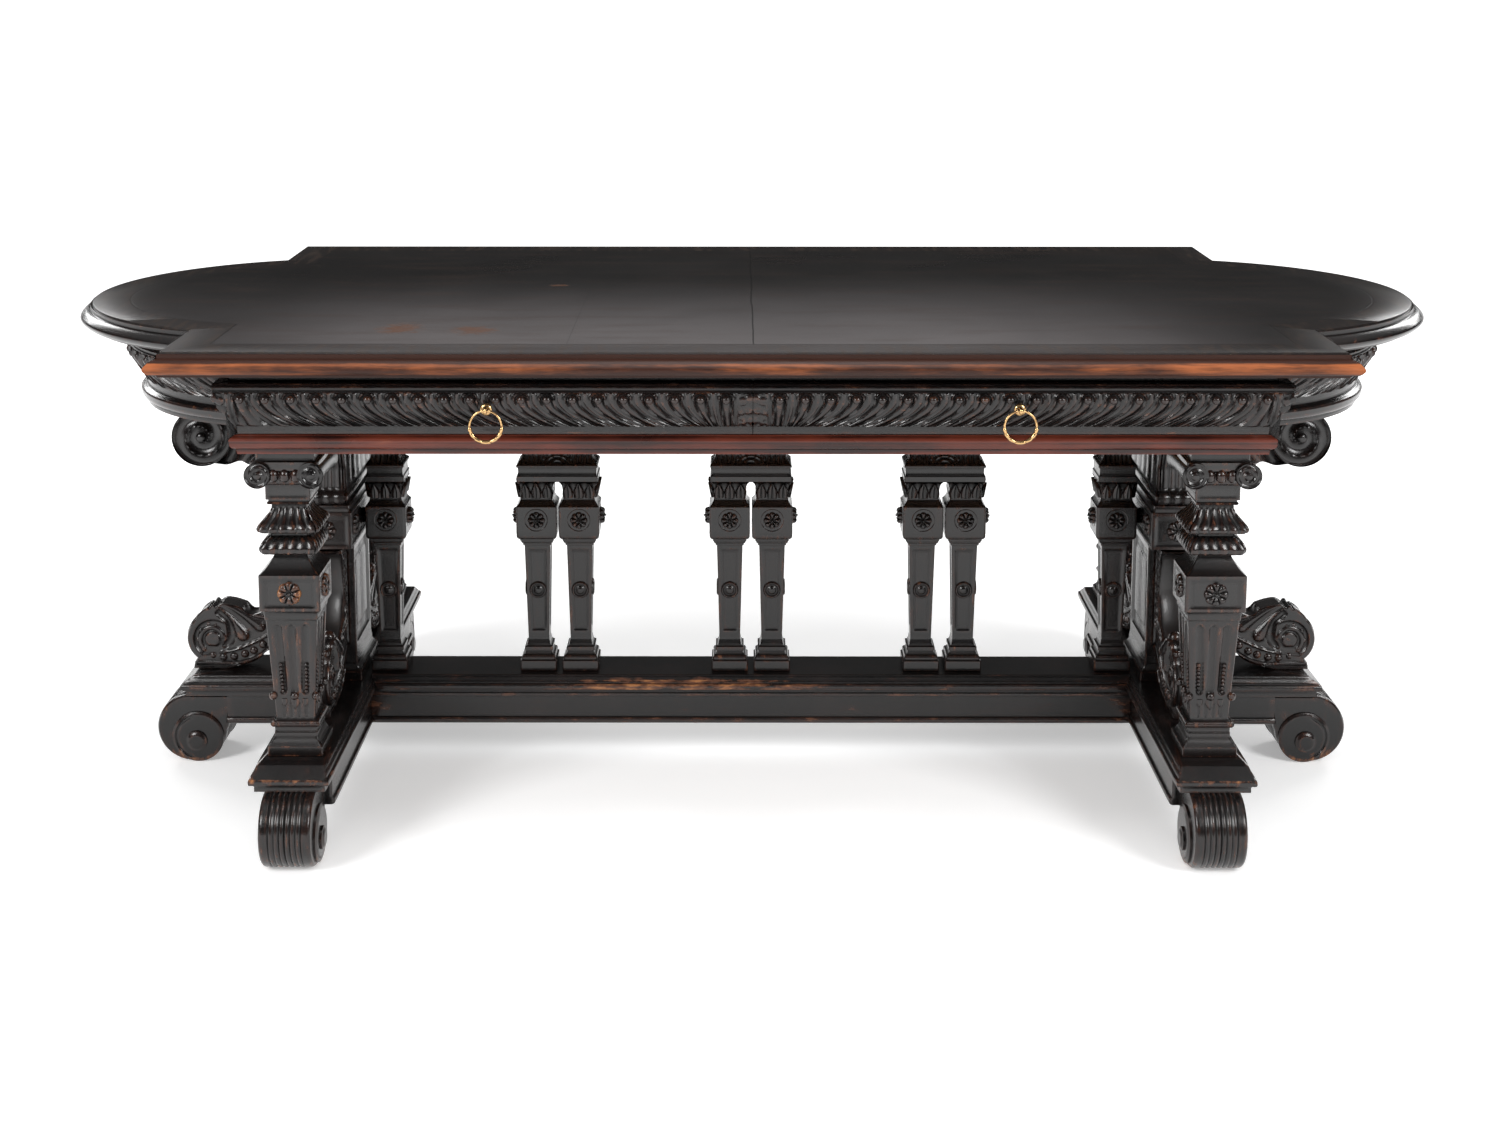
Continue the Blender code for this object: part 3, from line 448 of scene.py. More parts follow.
class Value:
    """A node's output socket. Arithmetic on it adds Math nodes to the same tree."""

    def __init__(self, recipe, socket):
        self.recipe = recipe
        self.socket = socket

    def math(self, operation, *values):
        inputs = dict(enumerate(values))
        return self.recipe.node("ShaderNodeMath", {"operation": operation}, inputs)

    def __add__(self, other):
        return self.math("ADD", self, other)

    def __radd__(self, other):
        return self.math("ADD", other, self)

    def __sub__(self, other):
        return self.math("SUBTRACT", self, other)

    def __rsub__(self, other):
        return self.math("SUBTRACT", other, self)

    def __mul__(self, other):
        return self.math("MULTIPLY", self, other)

    def __rmul__(self, other):
        return self.math("MULTIPLY", other, self)

    def __truediv__(self, other):
        return self.math("DIVIDE", self, other)

    def __pow__(self, other):
        return self.math("POWER", self, other)

    def __abs__(self):
        return self.math("ABSOLUTE", self)

    def least(self, other):
        return self.math("MINIMUM", self, other)

    def most(self, other):
        return self.math("MAXIMUM", self, other)

    def rise(self, low, high):
        """0 below low, 1 above high, and smooth between them; low may be above high."""
        settings = {"interpolation_type": "SMOOTHSTEP"}
        inputs = {"Value": self, "From Min": low, "From Max": high}
        return self.recipe.node("ShaderNodeMapRange", settings, inputs)


class Recipe:
    """One material under construction: node() adds any node, settings first, then sockets."""

    def __init__(self, name):
        self.material = bpy.data.materials.new(name)
        self.material.use_nodes = True
        self.tree = self.material.node_tree
        self.tree.nodes.clear()

    def node(self, kind, settings=None, inputs=None, output=0):
        made = self.tree.nodes.new(kind)
        for name, value in (settings or {}).items():
            setattr(made, name, value)
        for key, value in (inputs or {}).items():
            if isinstance(value, Value):
                self.tree.links.new(value.socket, made.inputs[key])
            else:
                made.inputs[key].default_value = value
        return Value(self, made.outputs[output])

    def place(self, stretch=(1.0, 1.0, 1.0)):
        """Object coordinates, in metres, times a stretch along each axis."""
        spot = self.node("ShaderNodeTexCoord", output="Object")
        return self.node("ShaderNodeMapping", None, {"Vector": spot, "Scale": stretch})

    def axis(self, name):
        place = self.node("ShaderNodeTexCoord", output="Object")
        return self.node("ShaderNodeSeparateXYZ", None, {"Vector": place}, name)

    def noise(self, scale, stretch=(1.0, 1.0, 1.0), detail=3.0, roughness=0.5):
        """Fractal noise about 0.5; scale is in features to the metre."""
        inputs = {
            "Vector": self.place(stretch),
            "Scale": scale,
            "Detail": detail,
            "Roughness": roughness,
        }
        return self.node("ShaderNodeTexNoise", None, inputs)

    def attribute(self, name):
        return self.node("ShaderNodeAttribute", {"attribute_name": name}, None, "Fac")

    def blend(self, factor, first, second):
        """A colour between two colours; a colour may be three numbers or a Value."""
        settings = {"data_type": "RGBA"}
        first, second = (c if isinstance(c, Value) else (*c, 1.0) for c in (first, second))
        return self.node("ShaderNodeMix", settings, {0: factor, 6: first, 7: second}, 2)

    def bump(self, height, distance, strength=1.0):
        inputs = {"Height": height, "Distance": distance, "Strength": strength}
        return self.node("ShaderNodeBump", None, inputs)

    def surface(self, **sockets):
        """The Principled shader with these sockets; underscores stand for spaces."""
        inputs = {name.replace("_", " "): value for name, value in sockets.items()}
        shader = self.node("ShaderNodeBsdfPrincipled", None, inputs)
        output = self.tree.nodes.new("ShaderNodeOutputMaterial")
        self.tree.links.new(shader.socket, output.inputs["Surface"])
        return self.material


def colour(red, green, blue):
    """A colour as seen on a screen, from 0 to 255, in the linear numbers that shaders take."""
    shares = (np.array([red, green, blue]) / 255.0 + 0.055) / 1.055
    return tuple(float(share) ** 2.4 for share in shares)


BLACK_WOOD = colour(13, 11, 11)
BROWN_BLACK = colour(25, 19, 18)
DUST = colour(36, 33, 32)
RED_BROWN = colour(58, 34, 26)
WORN_BROWN = colour(92, 56, 36)
BARE_WOOD = colour(158, 106, 64)
NOSE_POLISH = colour(50, 27, 19)
NOSE_RUBBED = colour(150, 84, 47)
NOSE_BARE = colour(190, 118, 62)
NOSE_PORES = colour(34, 21, 16)
RED_DEEP = colour(34, 14, 11)
RED_THIN = colour(92, 40, 27)
RED_PALE = colour(138, 78, 50)
INNER_DARK = colour(96, 66, 44)
INNER_LIGHT = colour(140, 102, 68)
INNER_PORES = colour(62, 42, 28)
INNER_DIRT = colour(66, 50, 38)
BRASS_BRIGHT = colour(196, 160, 112)
BRASS_DULL = colour(112, 74, 54)
BRASS_HOLLOW = colour(40, 26, 20)
TOP_BLACK = colour(10, 9, 9)
TOP_CLOUD = colour(22, 20, 20)
# Painted sheen: the grey of a reflection painted onto the front of the top
TOP_PAINTED_SHEEN = colour(84, 80, 80)
TOP_FIGURE = colour(48, 36, 31)
TOP_BORDER = colour(26, 21, 20)
TOP_CROSS_GRAIN = colour(62, 50, 42)
TOP_SCUFF = colour(112, 88, 66)
TOP_SPECKLE = colour(140, 128, 112)
TOP_CHIP = colour(84, 54, 36)
TOP_SPLIT = colour(9, 8, 8)
BLACK_GLOSS = 0.26
GRAIN_UP = (9.0, 9.0, 1.0)
GRAIN_LONG = (1.0, 9.0, 9.0)
GRAIN_DEEP = (9.0, 1.0, 9.0)


def ebonised(name, grain, wear=0.0):
    """Black polish over walnut: brown shows through on a few proud edges and where the wear
    attribute says so, dust lies in the hollows, and fine pores run along the grain."""
    r = Recipe(name)
    coarse_grain = tuple(0.35 * stretch + 0.65 for stretch in grain)
    cloudy = r.noise(7.0, detail=4.0)
    patches = r.noise(26.0, coarse_grain, detail=5.0, roughness=0.62)
    pores = r.noise(170.0, grain, detail=2.0)
    relief, worn = r.attribute("relief"), r.attribute("wear")
    proud = relief.rise(0.2, 0.9)
    hollow = (0.0 - relief).rise(0.1, 0.9)
    rubbing = proud * 0.15 + patches + worn * 0.42 + wear
    rubbed = rubbing.rise(0.70, 0.88)
    bare = rubbing.rise(0.86, 0.98)
    base = r.blend(cloudy.rise(0.42, 0.72), BLACK_WOOD, BROWN_BLACK)
    base = r.blend((patches + proud * 0.2).rise(0.56, 0.74) * 0.35, base, RED_BROWN)
    base = r.blend(rubbed * 0.85, base, WORN_BROWN)
    base = r.blend(bare * 0.85, base, BARE_WOOD)
    base = r.blend(hollow * 0.12, base, DUST)
    roughness = BLACK_GLOSS + cloudy * 0.10 + hollow * 0.18 + pores * 0.06 + rubbed * 0.08 - 0.10
    return r.surface(
        Base_Color=base,
        Roughness=roughness,
        Normal=r.bump(pores * 0.6 + patches * 0.4, 0.0006, 0.35),
        Specular_IOR_Level=0.44,
        Coat_Weight=0.12,
        Coat_Roughness=0.08,
    )


def worn_edge():
    """The nosing's walnut: black polish stays in streaks along it, the middle of the nose has
    rubbed through to brown, and a little bare orange wood shows where the wear is heavy."""
    r = Recipe("worn_edge")
    streaks = r.noise(34.0, (0.10, 1.0, 1.0), detail=6.0, roughness=0.66)
    patches = r.noise(6.0, (1.0, 3.0, 3.0), detail=4.0, roughness=0.6)
    pores = r.noise(260.0, (0.08, 1.0, 1.0), detail=2.0)
    worn = r.attribute("wear")
    rubbing = streaks * 0.60 + patches * 0.45 + worn * 0.42
    rubbed = rubbing.rise(0.72, 0.96)
    bare = rubbing.rise(0.98, 1.16)
    base = r.blend(rubbed, NOSE_POLISH, NOSE_RUBBED)
    base = r.blend(bare * 0.9, base, NOSE_BARE)
    base = r.blend(pores.rise(0.52, 0.70) * 0.50, base, NOSE_PORES)
    return r.surface(
        Base_Color=base,
        Roughness=0.34 + patches * 0.12 + bare * 0.12,
        Normal=r.bump(pores + streaks * 0.6, 0.0005, 0.4),
        Specular_IOR_Level=0.20,
    )


def red_polish():
    """Thin dark polish over red-brown wood, glossy, with darker streaks along the bead."""
    r = Recipe("red_polish")
    streaks = r.noise(30.0, (0.14, 1.0, 1.0), detail=5.0, roughness=0.6)
    patches = r.noise(7.0, detail=4.0)
    relief = r.attribute("relief")
    thin = (streaks * 0.5 + patches * 0.5 + relief * 0.10).rise(0.40, 0.64)
    base = r.blend(thin, RED_DEEP, RED_THIN)
    base = r.blend((streaks + patches * 0.5).rise(0.92, 1.06) * 0.6, base, RED_PALE)
    return r.surface(
        Base_Color=base,
        Roughness=0.22 + patches * 0.14,
        Normal=r.bump(streaks, 0.0004, 0.3),
        Specular_IOR_Level=0.34,
        Coat_Weight=0.08,
        Coat_Roughness=0.12,
    )


def drawer_wood():
    """Plain unpolished walnut inside: long grain figure, darker pores and a little dirt."""
    r = Recipe("inner_walnut")
    figure = r.noise(12.0, (0.6, 3.0, 3.0), detail=5.0, roughness=0.6)
    pores = r.noise(240.0, (0.08, 1.0, 1.0), detail=2.0)
    dirt = r.noise(6.0, detail=4.0)
    base = r.blend(figure, INNER_DARK, INNER_LIGHT)
    base = r.blend(pores.rise(0.5, 0.72) * 0.5, base, INNER_PORES)
    base = r.blend(dirt.rise(0.5, 0.75) * 0.5, base, INNER_DIRT)
    bumps = r.bump(pores, 0.0004, 0.4)
    return r.surface(Base_Color=base, Roughness=0.62 + pores * 0.12, Normal=bumps)


def aged_brass():
    """Brass gone pinkish brown: the proud places still shine and the hollows are dark."""
    r = Recipe("aged_brass")
    tarnish = r.noise(150.0, detail=4.0, roughness=0.6)
    relief = r.attribute("relief")
    dulling_and_painted_sheen = (tarnish - relief * 0.30).rise(0.34, 0.66)
    base = r.blend(dulling_and_painted_sheen, BRASS_BRIGHT, BRASS_DULL)
    base = r.blend((0.0 - relief).rise(0.2, 0.9) * 0.7, base, BRASS_HOLLOW)
    return r.surface(
        Base_Color=base,
        Metallic=1.0,
        Roughness=0.24 + dulling_and_painted_sheen * 0.20,
        Normal=r.bump(tarnish, 0.0003, 0.3),
    )


BORDER = 0.058
# Each chipped spot: its middle, then its half length and half depth
CHIPPED = (
    (-0.520, -0.330, 0.040, 0.052), (-0.410, -0.345, 0.040, 0.044), (-0.318, 0.060, 0.020, 0.012),
)
JOINT_X = -0.265


def polished_top():
    """The tabletop: scuffed black polish with a painted grey sheen, paler toward the front, a
    cross-banded border with an inlaid line and mitres, a split in the middle, a glued joint, and
    chips."""
    r = Recipe("table_top")
    x, y = r.axis("X"), r.axis("Y")
    across, deep = abs(x), abs(y)
    cloudy = r.noise(3.2, detail=5.0, roughness=0.6)
    figure = r.noise(16.0, (0.35, 2.2, 1.0), detail=5.0, roughness=0.62)
    scuffs = r.noise(60.0, (1.0, 4.0, 1.0), detail=6.0, roughness=0.7)
    cross_grain = r.noise(90.0, (1.0, 0.15, 1.0), detail=3.0)
    speckle = r.noise(420.0, detail=2.0)
    radial = ((across - LOBE_CENTRE_X) ** 2 + deep ** 2) ** 0.5
    inner_length, inner_depth = TOP_SIZES[0] - BORDER, TOP_SIZES[1] - BORDER
    to_side, to_front = inner_length - across, inner_depth - deep
    inside = to_side.least(to_front).most(TOP_SIZES[2] - BORDER - radial)
    inlay = abs(inside).rise(0.0022, 0.0008)
    border = inside.rise(0.001, -0.001)
    mitre = abs(to_side - to_front).rise(0.0016, 0.0006) * border * across.rise(0.70, 0.76)
    # Painted sheen: a grey reflection painted into the colour, strongest at the front middle and
    # fading toward the lobes and the right end
    dulling_and_painted_sheen = 1.0 - 0.60 * across.rise(0.45, 0.85) - 0.30 * x.rise(0.25, 0.75)
    front = (0.0 - y).rise(-0.20, 0.56) * dulling_and_painted_sheen
    base = r.blend(cloudy, TOP_BLACK, TOP_CLOUD)
    base = r.blend(front * (0.55 + cloudy * 0.6), base, TOP_PAINTED_SHEEN)
    base = r.blend(figure.rise(0.46, 0.70) * 0.30, base, TOP_FIGURE)
    base = r.blend(border * 0.50, base, TOP_BORDER)
    base = r.blend((border * cross_grain).rise(0.50, 0.62) * 0.35, base, TOP_CROSS_GRAIN)
    lines = inlay.most(mitre)
    base = r.blend(lines * 0.75, base, BLACK_WOOD)
    scratch = scuffs.rise(0.68, 0.76)
    base = r.blend(scratch * 0.45, base, TOP_SCUFF)
    base = r.blend(speckle.rise(0.71, 0.77) * 0.45, base, TOP_SPECKLE)
    chips = None
    for middle_x, middle_y, half_x, half_y in CHIPPED:
        aside = ((x - middle_x) / half_x) ** 2 + ((y - middle_y) / half_y) ** 2
        spot = (aside + scuffs * 5.0).rise(3.1, 2.7)
        chips = spot if chips is None else chips.most(spot)
    base = r.blend(chips * 0.75, base, TOP_CHIP)
    field = 1.0 - border
    wander = (cloudy - 0.5) * 0.01
    split = abs(x + wander).rise(0.0014, 0.0005) * field
    joint = abs(x - JOINT_X).rise(0.0009, 0.0003) * field
    base = r.blend(split.most(joint * 0.5) * 0.9, base, TOP_SPLIT)
    height = cloudy * 0.2 - scratch * 0.3 - chips * 0.8 - split - lines * 0.4
    return r.surface(
        Base_Color=base,
        Roughness=0.22 + cloudy * 0.14 + front * 0.20,
        Normal=r.bump(height, 0.0006, 0.5),
        Specular_IOR_Level=0.22,
    )


def lobed_outline(outs, sizes, side):
    """Rows of places round a lobed end, one row for each step along it and a column for each
    projection, with rows at the corners and at both ends of the arc."""
    length = lobed_length(sizes)
    arc_length = sizes[2] * math.acos((sizes[0] - LOBE_CENTRE_X) / sizes[2])
    along = np.concatenate(
        [
            np.linspace(-length, -arc_length, RETURN_ROWS, endpoint=False),
            np.linspace(-arc_length, arc_length, LOBE_ROWS),
            np.linspace(arc_length, length, RETURN_ROWS + 1)[1:],
        ]
    )
    along = along[:, None]
    x, y = lobed_place(along, np.asarray(outs, float)[None, :], sizes, side)
    return x, mitred(y, along, length)


def mitred(y, along, length):
    """Draws the corner places of a lobed end back by the mitre's ease."""
    return y - np.sign(along) * MITRE_EASE * (np.abs(along) > length - AT_MITRE)


def capped_wear(worn):
    """A grid's wear in one row, with two unworn places for the middles of its ends."""
    return np.append(worn.ravel(), (0.0, 0.0))


PANEL_INSET = 0.0009
REBATE_LEVEL = TOP_Z - 0.0168
# Rings of the panel: share of its outline, height, and how far they are drawn in
PANEL_RINGS = (
    (0.02, TOP_Z, 0.0), (0.5, TOP_Z, 0.0), (0.9, TOP_Z, 0.0), (1.0, TOP_Z, PANEL_INSET),
    (1.0, TOP_Z - 0.0004, 0.0003), (1.0, TOP_Z - PANEL_INSET, 0.0), (1.0, REBATE_LEVEL, 0.0),
    (0.95, REBATE_LEVEL, 0.0), (0.95, PANEL_BOTTOM, 0.0), (0.5, PANEL_BOTTOM, 0.0),
)


def top_panel():
    """Rings of the lobed outline: the middle, the edge, its eased corner, the rebate and back."""
    x, y = lobed_outline([0.0], TOP_SIZES, 1)
    half = np.column_stack([x[:, 0], y[:, 0]])
    outline = np.concatenate([half, -half])
    pull_in = outline / np.linalg.norm(outline, axis=1, keepdims=True)
    rows = [
        np.column_stack([outline * share - pull_in * pull, np.full(len(outline), height)])
        for share, height, pull in PANEL_RINGS
    ]
    return sheet(np.stack(rows))


# Height as a share of the moulding's, projection and bulge
NOSE_KEYS = (
    (0.0, 0.0030, 0.0), (0.10, 0.0045, 0.0), (0.16, 0.0135, -0.0008), (0.22, 0.0160, 0.0),
    (0.62, 0.0160, 0.0040), (0.80, 0.0060, 0.0010), (0.82, 0.0035, 0.0), (1.0, 0.0035, 0.0),
)


# The panel's edge stands this far over the moulding; the moulding's rebate lies this far down, and
# its back runs at these projections
PANEL_STEP = 0.0032
MOULDING_REBATE = 0.0174
MOULDING_BACK = (0.0003, 0.0003, -0.0197, -0.0197)


def edge_section():
    """The edge moulding's section as projection and height: a fillet, a hollow, a full nose and a
    small step under the panel's edge. The nose's middle is where the wear is."""
    height = TOP_Z - PANEL_BOTTOM - PANEL_STEP
    keys = [(PANEL_BOTTOM + up * height, out, bulge) for up, out, bulge in NOSE_KEYS]
    heights, outs = bow(keys, EDGE_STEP)
    rebate = TOP_Z - MOULDING_REBATE
    outs = np.concatenate([outs, MOULDING_BACK])
    heights = np.concatenate([heights, (PANEL_BOTTOM + height, rebate, rebate, PANEL_BOTTOM)])
    wear = window(outs, 0.0135, 0.030, 0.006) * 0.62
    wear = wear + window((heights - PANEL_BOTTOM) / height, 0.60, 0.80, 0.1) * 0.12
    return outs, heights, wear


def straight_moulding(outs, heights, wear, sizes, way):
    """A section carried along the front or the back between two mitred corners. The corners are
    worn more than the rest."""
    share = np.linspace(-1, 1, MOULDING_ROWS)[:, None]
    x = share * (sizes[0] + outs - MITRE_EASE)
    worn = wear[None, :] * (1 + 0.5 * ease(np.abs(share), 0.94, 1.0))
    return woven(x, way * (sizes[1] + outs), heights).worn(capped_wear(worn))


def lobed_moulding(outs, heights, wear, sizes, side):
    """A section carried round a lobed end between two mitred corners."""
    x, y = lobed_outline(outs, sizes, side)
    return woven(x, y, heights).worn(capped_wear(np.broadcast_to(wear, x.shape)))


PITCH = 0.03637
CUSHION = (0.6636, 0.7220)
BALL_LEVEL = 0.80
SWEEP = 1.45
LINES_IN_PITCH = 18
BAND_REACH = 0.0300
SWEEP_FADES = (0.13, 0.05)
GADROON_DEPTH = 0.0050
# The rise that leaves the band's section as it is, and where carving fades at the cushion's edges
GADROON_GROUND = 0.55
CARVING_STARTS = (0.0, 0.05)
CLASP_STARTS = (0.0, 0.04)
CARVING_ENDS = (1.0, 0.97)
# A tongue's half width and rise, each at its ball and how much less at its foot
TONGUE_WIDE = (0.19, 0.08)
TONGUE_RISE = (0.95, 0.35)
# Rims: rise, distance and half width, in shares of the pitch; the third goes round the ball
FIRST_RIM = (0.85, 0.090, 0.038)
SECOND_RIM = (0.50, 0.200, 0.034)
BALL_RIM = (0.85, 0.29, 0.050)
DART_RISE = 0.60
DART_REACH = 0.100
# About the cushion's height over the pitch
CUSHION_ASPECT = 1.55
BALL_RADIUS = 0.0064
BALL_SINK = 0.0020
INNER_CLASP = 0.0198
# Lobes of the leaf at each end of a band: share of its width, height over the cushion's foot, radius
CLASP_LOBES = (
    (0.22, 0.0480, 0.0072), (0.68, 0.0440, 0.0076), (0.84, 0.0275, 0.0070), (0.34, 0.0300, 0.0084),
    (0.66, 0.0120, 0.0072), (0.16, 0.0130, 0.0066),
)
FRONT_CLASP = 0.0200
BAND_KEYS = (
    (0.6548, 0.0, 0.0), (0.6636, 0.0, 0.0), (0.6650, 0.0030, 0.0), (0.6850, 0.0135, -0.0010),
    (0.7010, 0.0238, 0.0), (0.7215, 0.0284, 0.0016), (0.7224, 0.0262, 0.0),
    (0.7266, 0.0250, -0.0008), (0.7274, 0.0272, 0.0), (0.7300, 0.0272, 0.0011),
    (0.7306, 0.0262, 0.0), (0.7335, 0.0262, 0.0011),
)
RAIL_KEYS = (
    (0.0, 0.0010, 0.0), (0.0067, 0.0010, 0.0), (0.0085, 0.0045, 0.0), (0.0122, 0.0090, 0.0006),
    (0.0187, 0.0100, 0.0006), (0.0247, 0.0088, 0.0012), (0.0275, 0.0040, 0.0),
    (0.0284, 0.0030, 0.0),
)


def cushion_share(heights):
    """The share of the cushion's height, below 0 and above 1 off the cushion."""
    return (heights - CUSHION[0]) / (CUSHION[1] - CUSHION[0])


def gadroons(local, share):
    """One gadroon across a pitch, from -0.5 to 0.5 about its middle, at a share of the cushion's
    height. A tongue hangs from each ball, a groove and a thin rim go round it and over the ball,
    a second thinner rim follows, and a dart lies between two gadroons."""
    local, share = np.broadcast_arrays(local, share)
    down = np.clip(1 - share, 0, 1)
    off = np.abs(local)
    wide = TONGUE_WIDE[0] - TONGUE_WIDE[1] * down
    tongue = (TONGUE_RISE[0] - TONGUE_RISE[1] * down) * half_round(off / wide)
    below = share < BALL_LEVEL
    rims = FIRST_RIM[0] * bell((off - wide - FIRST_RIM[1]) / FIRST_RIM[2])
    rims = rims + SECOND_RIM[0] * down * bell((off - wide - SECOND_RIM[1]) / SECOND_RIM[2])
    dart = DART_RISE * np.clip(1 - (0.5 - off) / DART_REACH, 0, 1) ** 0.6
    away = np.hypot(local, (share - BALL_LEVEL) * CUSHION_ASPECT)
    over = BALL_RIM[0] * bell((away - BALL_RIM[1]) / BALL_RIM[2]) + dart
    rise = np.where(below, np.maximum.reduce([tongue, rims, dart]), over)
    return rise * ease(share, *CARVING_STARTS) * ease(share, *CARVING_ENDS)


def section_normals(outs, heights):
    """Unit normals of an open section line, pointing out."""
    d_out, d_up = np.gradient(outs), np.gradient(heights)
    length = np.hypot(d_out, d_up) + TINY
    return d_up / length, -d_out / length


def clasp(from_end, share, half_width):
    """A leaf that wraps an end of the band: rounded lobes with raised rims lie over veins that
    fan out from its foot. from_end is in metres. Gives the leaf's cover and its height."""
    up = share * (CUSHION[1] - CUSHION[0])
    edge = half_width * (0.76 + 0.24 * np.abs(np.cos(share * math.pi * 2.5)))
    cover = ease(from_end, edge + 0.0010, edge - 0.0010)
    leaf = 0.10 + 0.30 * np.abs(np.sin(7.5 * np.arctan2(up + 0.006, from_end + 0.004)))
    for aside, level, radius in CLASP_LOBES:
        away = np.hypot(from_end - aside * half_width, up - level) / radius
        leaf = np.maximum(leaf, hump(away) * (0.70 + 0.40 * away))
    return cover, leaf + np.zeros_like(cover)


def carved_band(line, keys, first, last, clasps, hand=1):
    """A gadrooned band as rows along the frieze. line is the array of places of the gadroon lines
    at the balls' level, in metres. Below it each line sweeps back by the square of the way down,
    or on where hand is -1, so that the columns of the grid follow the carving. The sweep fades at
    both ends, slowly where the lines close up. Gives the place along, the projection and the
    height of every point."""
    heights, outs = bow(keys, BAND_STEP)
    share = cushion_share(heights)
    down = np.clip(BALL_LEVEL - share, 0, BALL_LEVEL) / BALL_LEVEL
    near, far = SWEEP_FADES[::hand]
    fade = ease(line, first, first + near) * ease(line, last, last - far)
    along = line[:, None] - hand * SWEEP * PITCH * fade[:, None] * down[None, :] ** 2
    local = (line - first) / PITCH - 0.5
    local = (local - np.round(local))[:, None]
    rise = gadroons(local, share[None, :])
    for end, half_width in clasps:
        cover, leaf = clasp(np.abs(along - end), share[None, :], half_width)
        inside = ease(share, *CLASP_STARTS) * ease(share, *CARVING_ENDS)
        rise = rise * (1 - cover) + leaf * cover * inside
    carved = GADROON_DEPTH * (rise - GADROON_GROUND) * ((share > 0) & (share < 1))
    n_out, n_up = section_normals(outs, heights)
    return along, outs + carved * n_out, heights + carved * n_up


def backed(along, out, up):
    """Closes each row of a band with its flat back."""
    back = np.full((len(out), 2), -FRIEZE_THICKNESS)
    ends = np.tile([up[0, -1], up[0, 0]], (len(out), 1))
    alongs = np.concatenate([along, along[:, -1:], along[:, :1]], axis=1)
    return alongs, np.concatenate([out, back], axis=1), np.concatenate([up, ends], axis=1)


def ball_row(places, normals):
    """Half-sunk balls at the heads of the gadroons, at places in plan with their normals."""
    heights, outs = bow(BAND_KEYS)
    share = cushion_share(heights)
    out, up = np.interp(BALL_LEVEL, share, outs), np.interp(BALL_LEVEL, share, heights)
    spots = np.asarray(places) + np.asarray(normals) * (out - BALL_SINK)
    bead = ball(BALL_RADIUS, rings=9, angles=14)
    return [bead.placed(shift=(x, y, up)) for x, y in spots]


def straight_front(reach, keys):
    """A straight gadrooned front from near the middle of the table out to its end at reach: the
    tails sweep toward the middle, and a leaf clasps each end."""
    start, end = DRAWER_EASE / 2, reach + BAND_REACH
    count = round((end - FRONT_CLASP - INNER_CLASP) / PITCH)
    last = INNER_CLASP + PITCH * count
    line = np.linspace(start, end, round((end - start) / PITCH * LINES_IN_PITCH))
    clasps = ((start, INNER_CLASP), (end, FRONT_CLASP))
    along, out, up = backed(*carved_band(line, keys, INNER_CLASP, last, clasps))
    mitre = reach + out - DRAWER_EASE - 0.004 * (end - line)[:, None]
    body = woven(np.minimum(along, mitre), -(FRIEZE_SIZES[1] + out), up)
    spots = [(INNER_CLASP + PITCH * (n + 0.5), -FRIEZE_SIZES[1]) for n in range(count)]
    return joined(body, *ball_row(spots, [(0.0, -1.0)] * count))


def rail_keys():
    """The section of the rail under the band, at its level."""
    return [(APRON_BOTTOM + up, out, bulge) for up, out, bulge in RAIL_KEYS]


def whole_frieze_keys():
    """The section of a frieze that has its rail, band and neck in one."""
    neck = ((NECK_BOTTOM + 0.0004, 0.0070, 0.0), (NECK_TOP, 0.0070, 0.0))
    return (*rail_keys(), *BAND_KEYS, *neck)


def end_frieze(side):
    """The frieze round a lobed end: rail, gadrooned band and neck in one section. The gadroons
    sweep from the lobe's middle to both corners."""
    length = lobed_length(FRIEZE_SIZES)
    count = round((length - 0.5 * FRONT_CLASP) / PITCH)
    line = np.linspace(0.0, length, round(length / PITCH * LINES_IN_PITCH))
    clasps = ((length, FRONT_CLASP),)
    band = carved_band(line, whole_frieze_keys(), 0.0, count * PITCH, clasps, -1)
    along, out, up = backed(*band)
    along = np.concatenate([-along[:0:-1], along])
    out, up = np.concatenate([out[:0:-1], out]), np.concatenate([up[:0:-1], up])
    x, y = lobed_place(along, out, FRIEZE_SIZES, side)
    y = mitred(y, along, length)
    spots = PITCH * (np.arange(-count, count) + 0.5)
    low, high = (np.stack(lobed_place(spots, out, FRIEZE_SIZES, side), -1) for out in (0.0, 0.01))
    normals = (high - low) / np.linalg.norm(high - low, axis=1, keepdims=True)
    return joined(woven(x, y, up), *ball_row(low, normals))


def sunk_panel(heights, across, half, low, high, margin, depth=0.0012):
    """A panel sunk between two heights, a margin inside the sides."""
    inside = np.clip((half - margin - np.abs(across) * half) / 0.001 + 0.5, 0, 1)
    return -depth * inside * window(heights, low + margin, high - margin, 0.001)


def flutes(heights, across, half, low, high, centres, radius, depth):
    """Round-ended grooves: a circle's depth at the distance from each groove's middle line."""
    total = 0.0
    for centre in centres:
        aside = (across - centre) * half
        beyond = np.maximum(0, np.maximum(heights - (high - radius), low + radius - heights))
        away = np.hypot(aside, beyond) / radius
        total = total - depth * half_round(away)
    return total


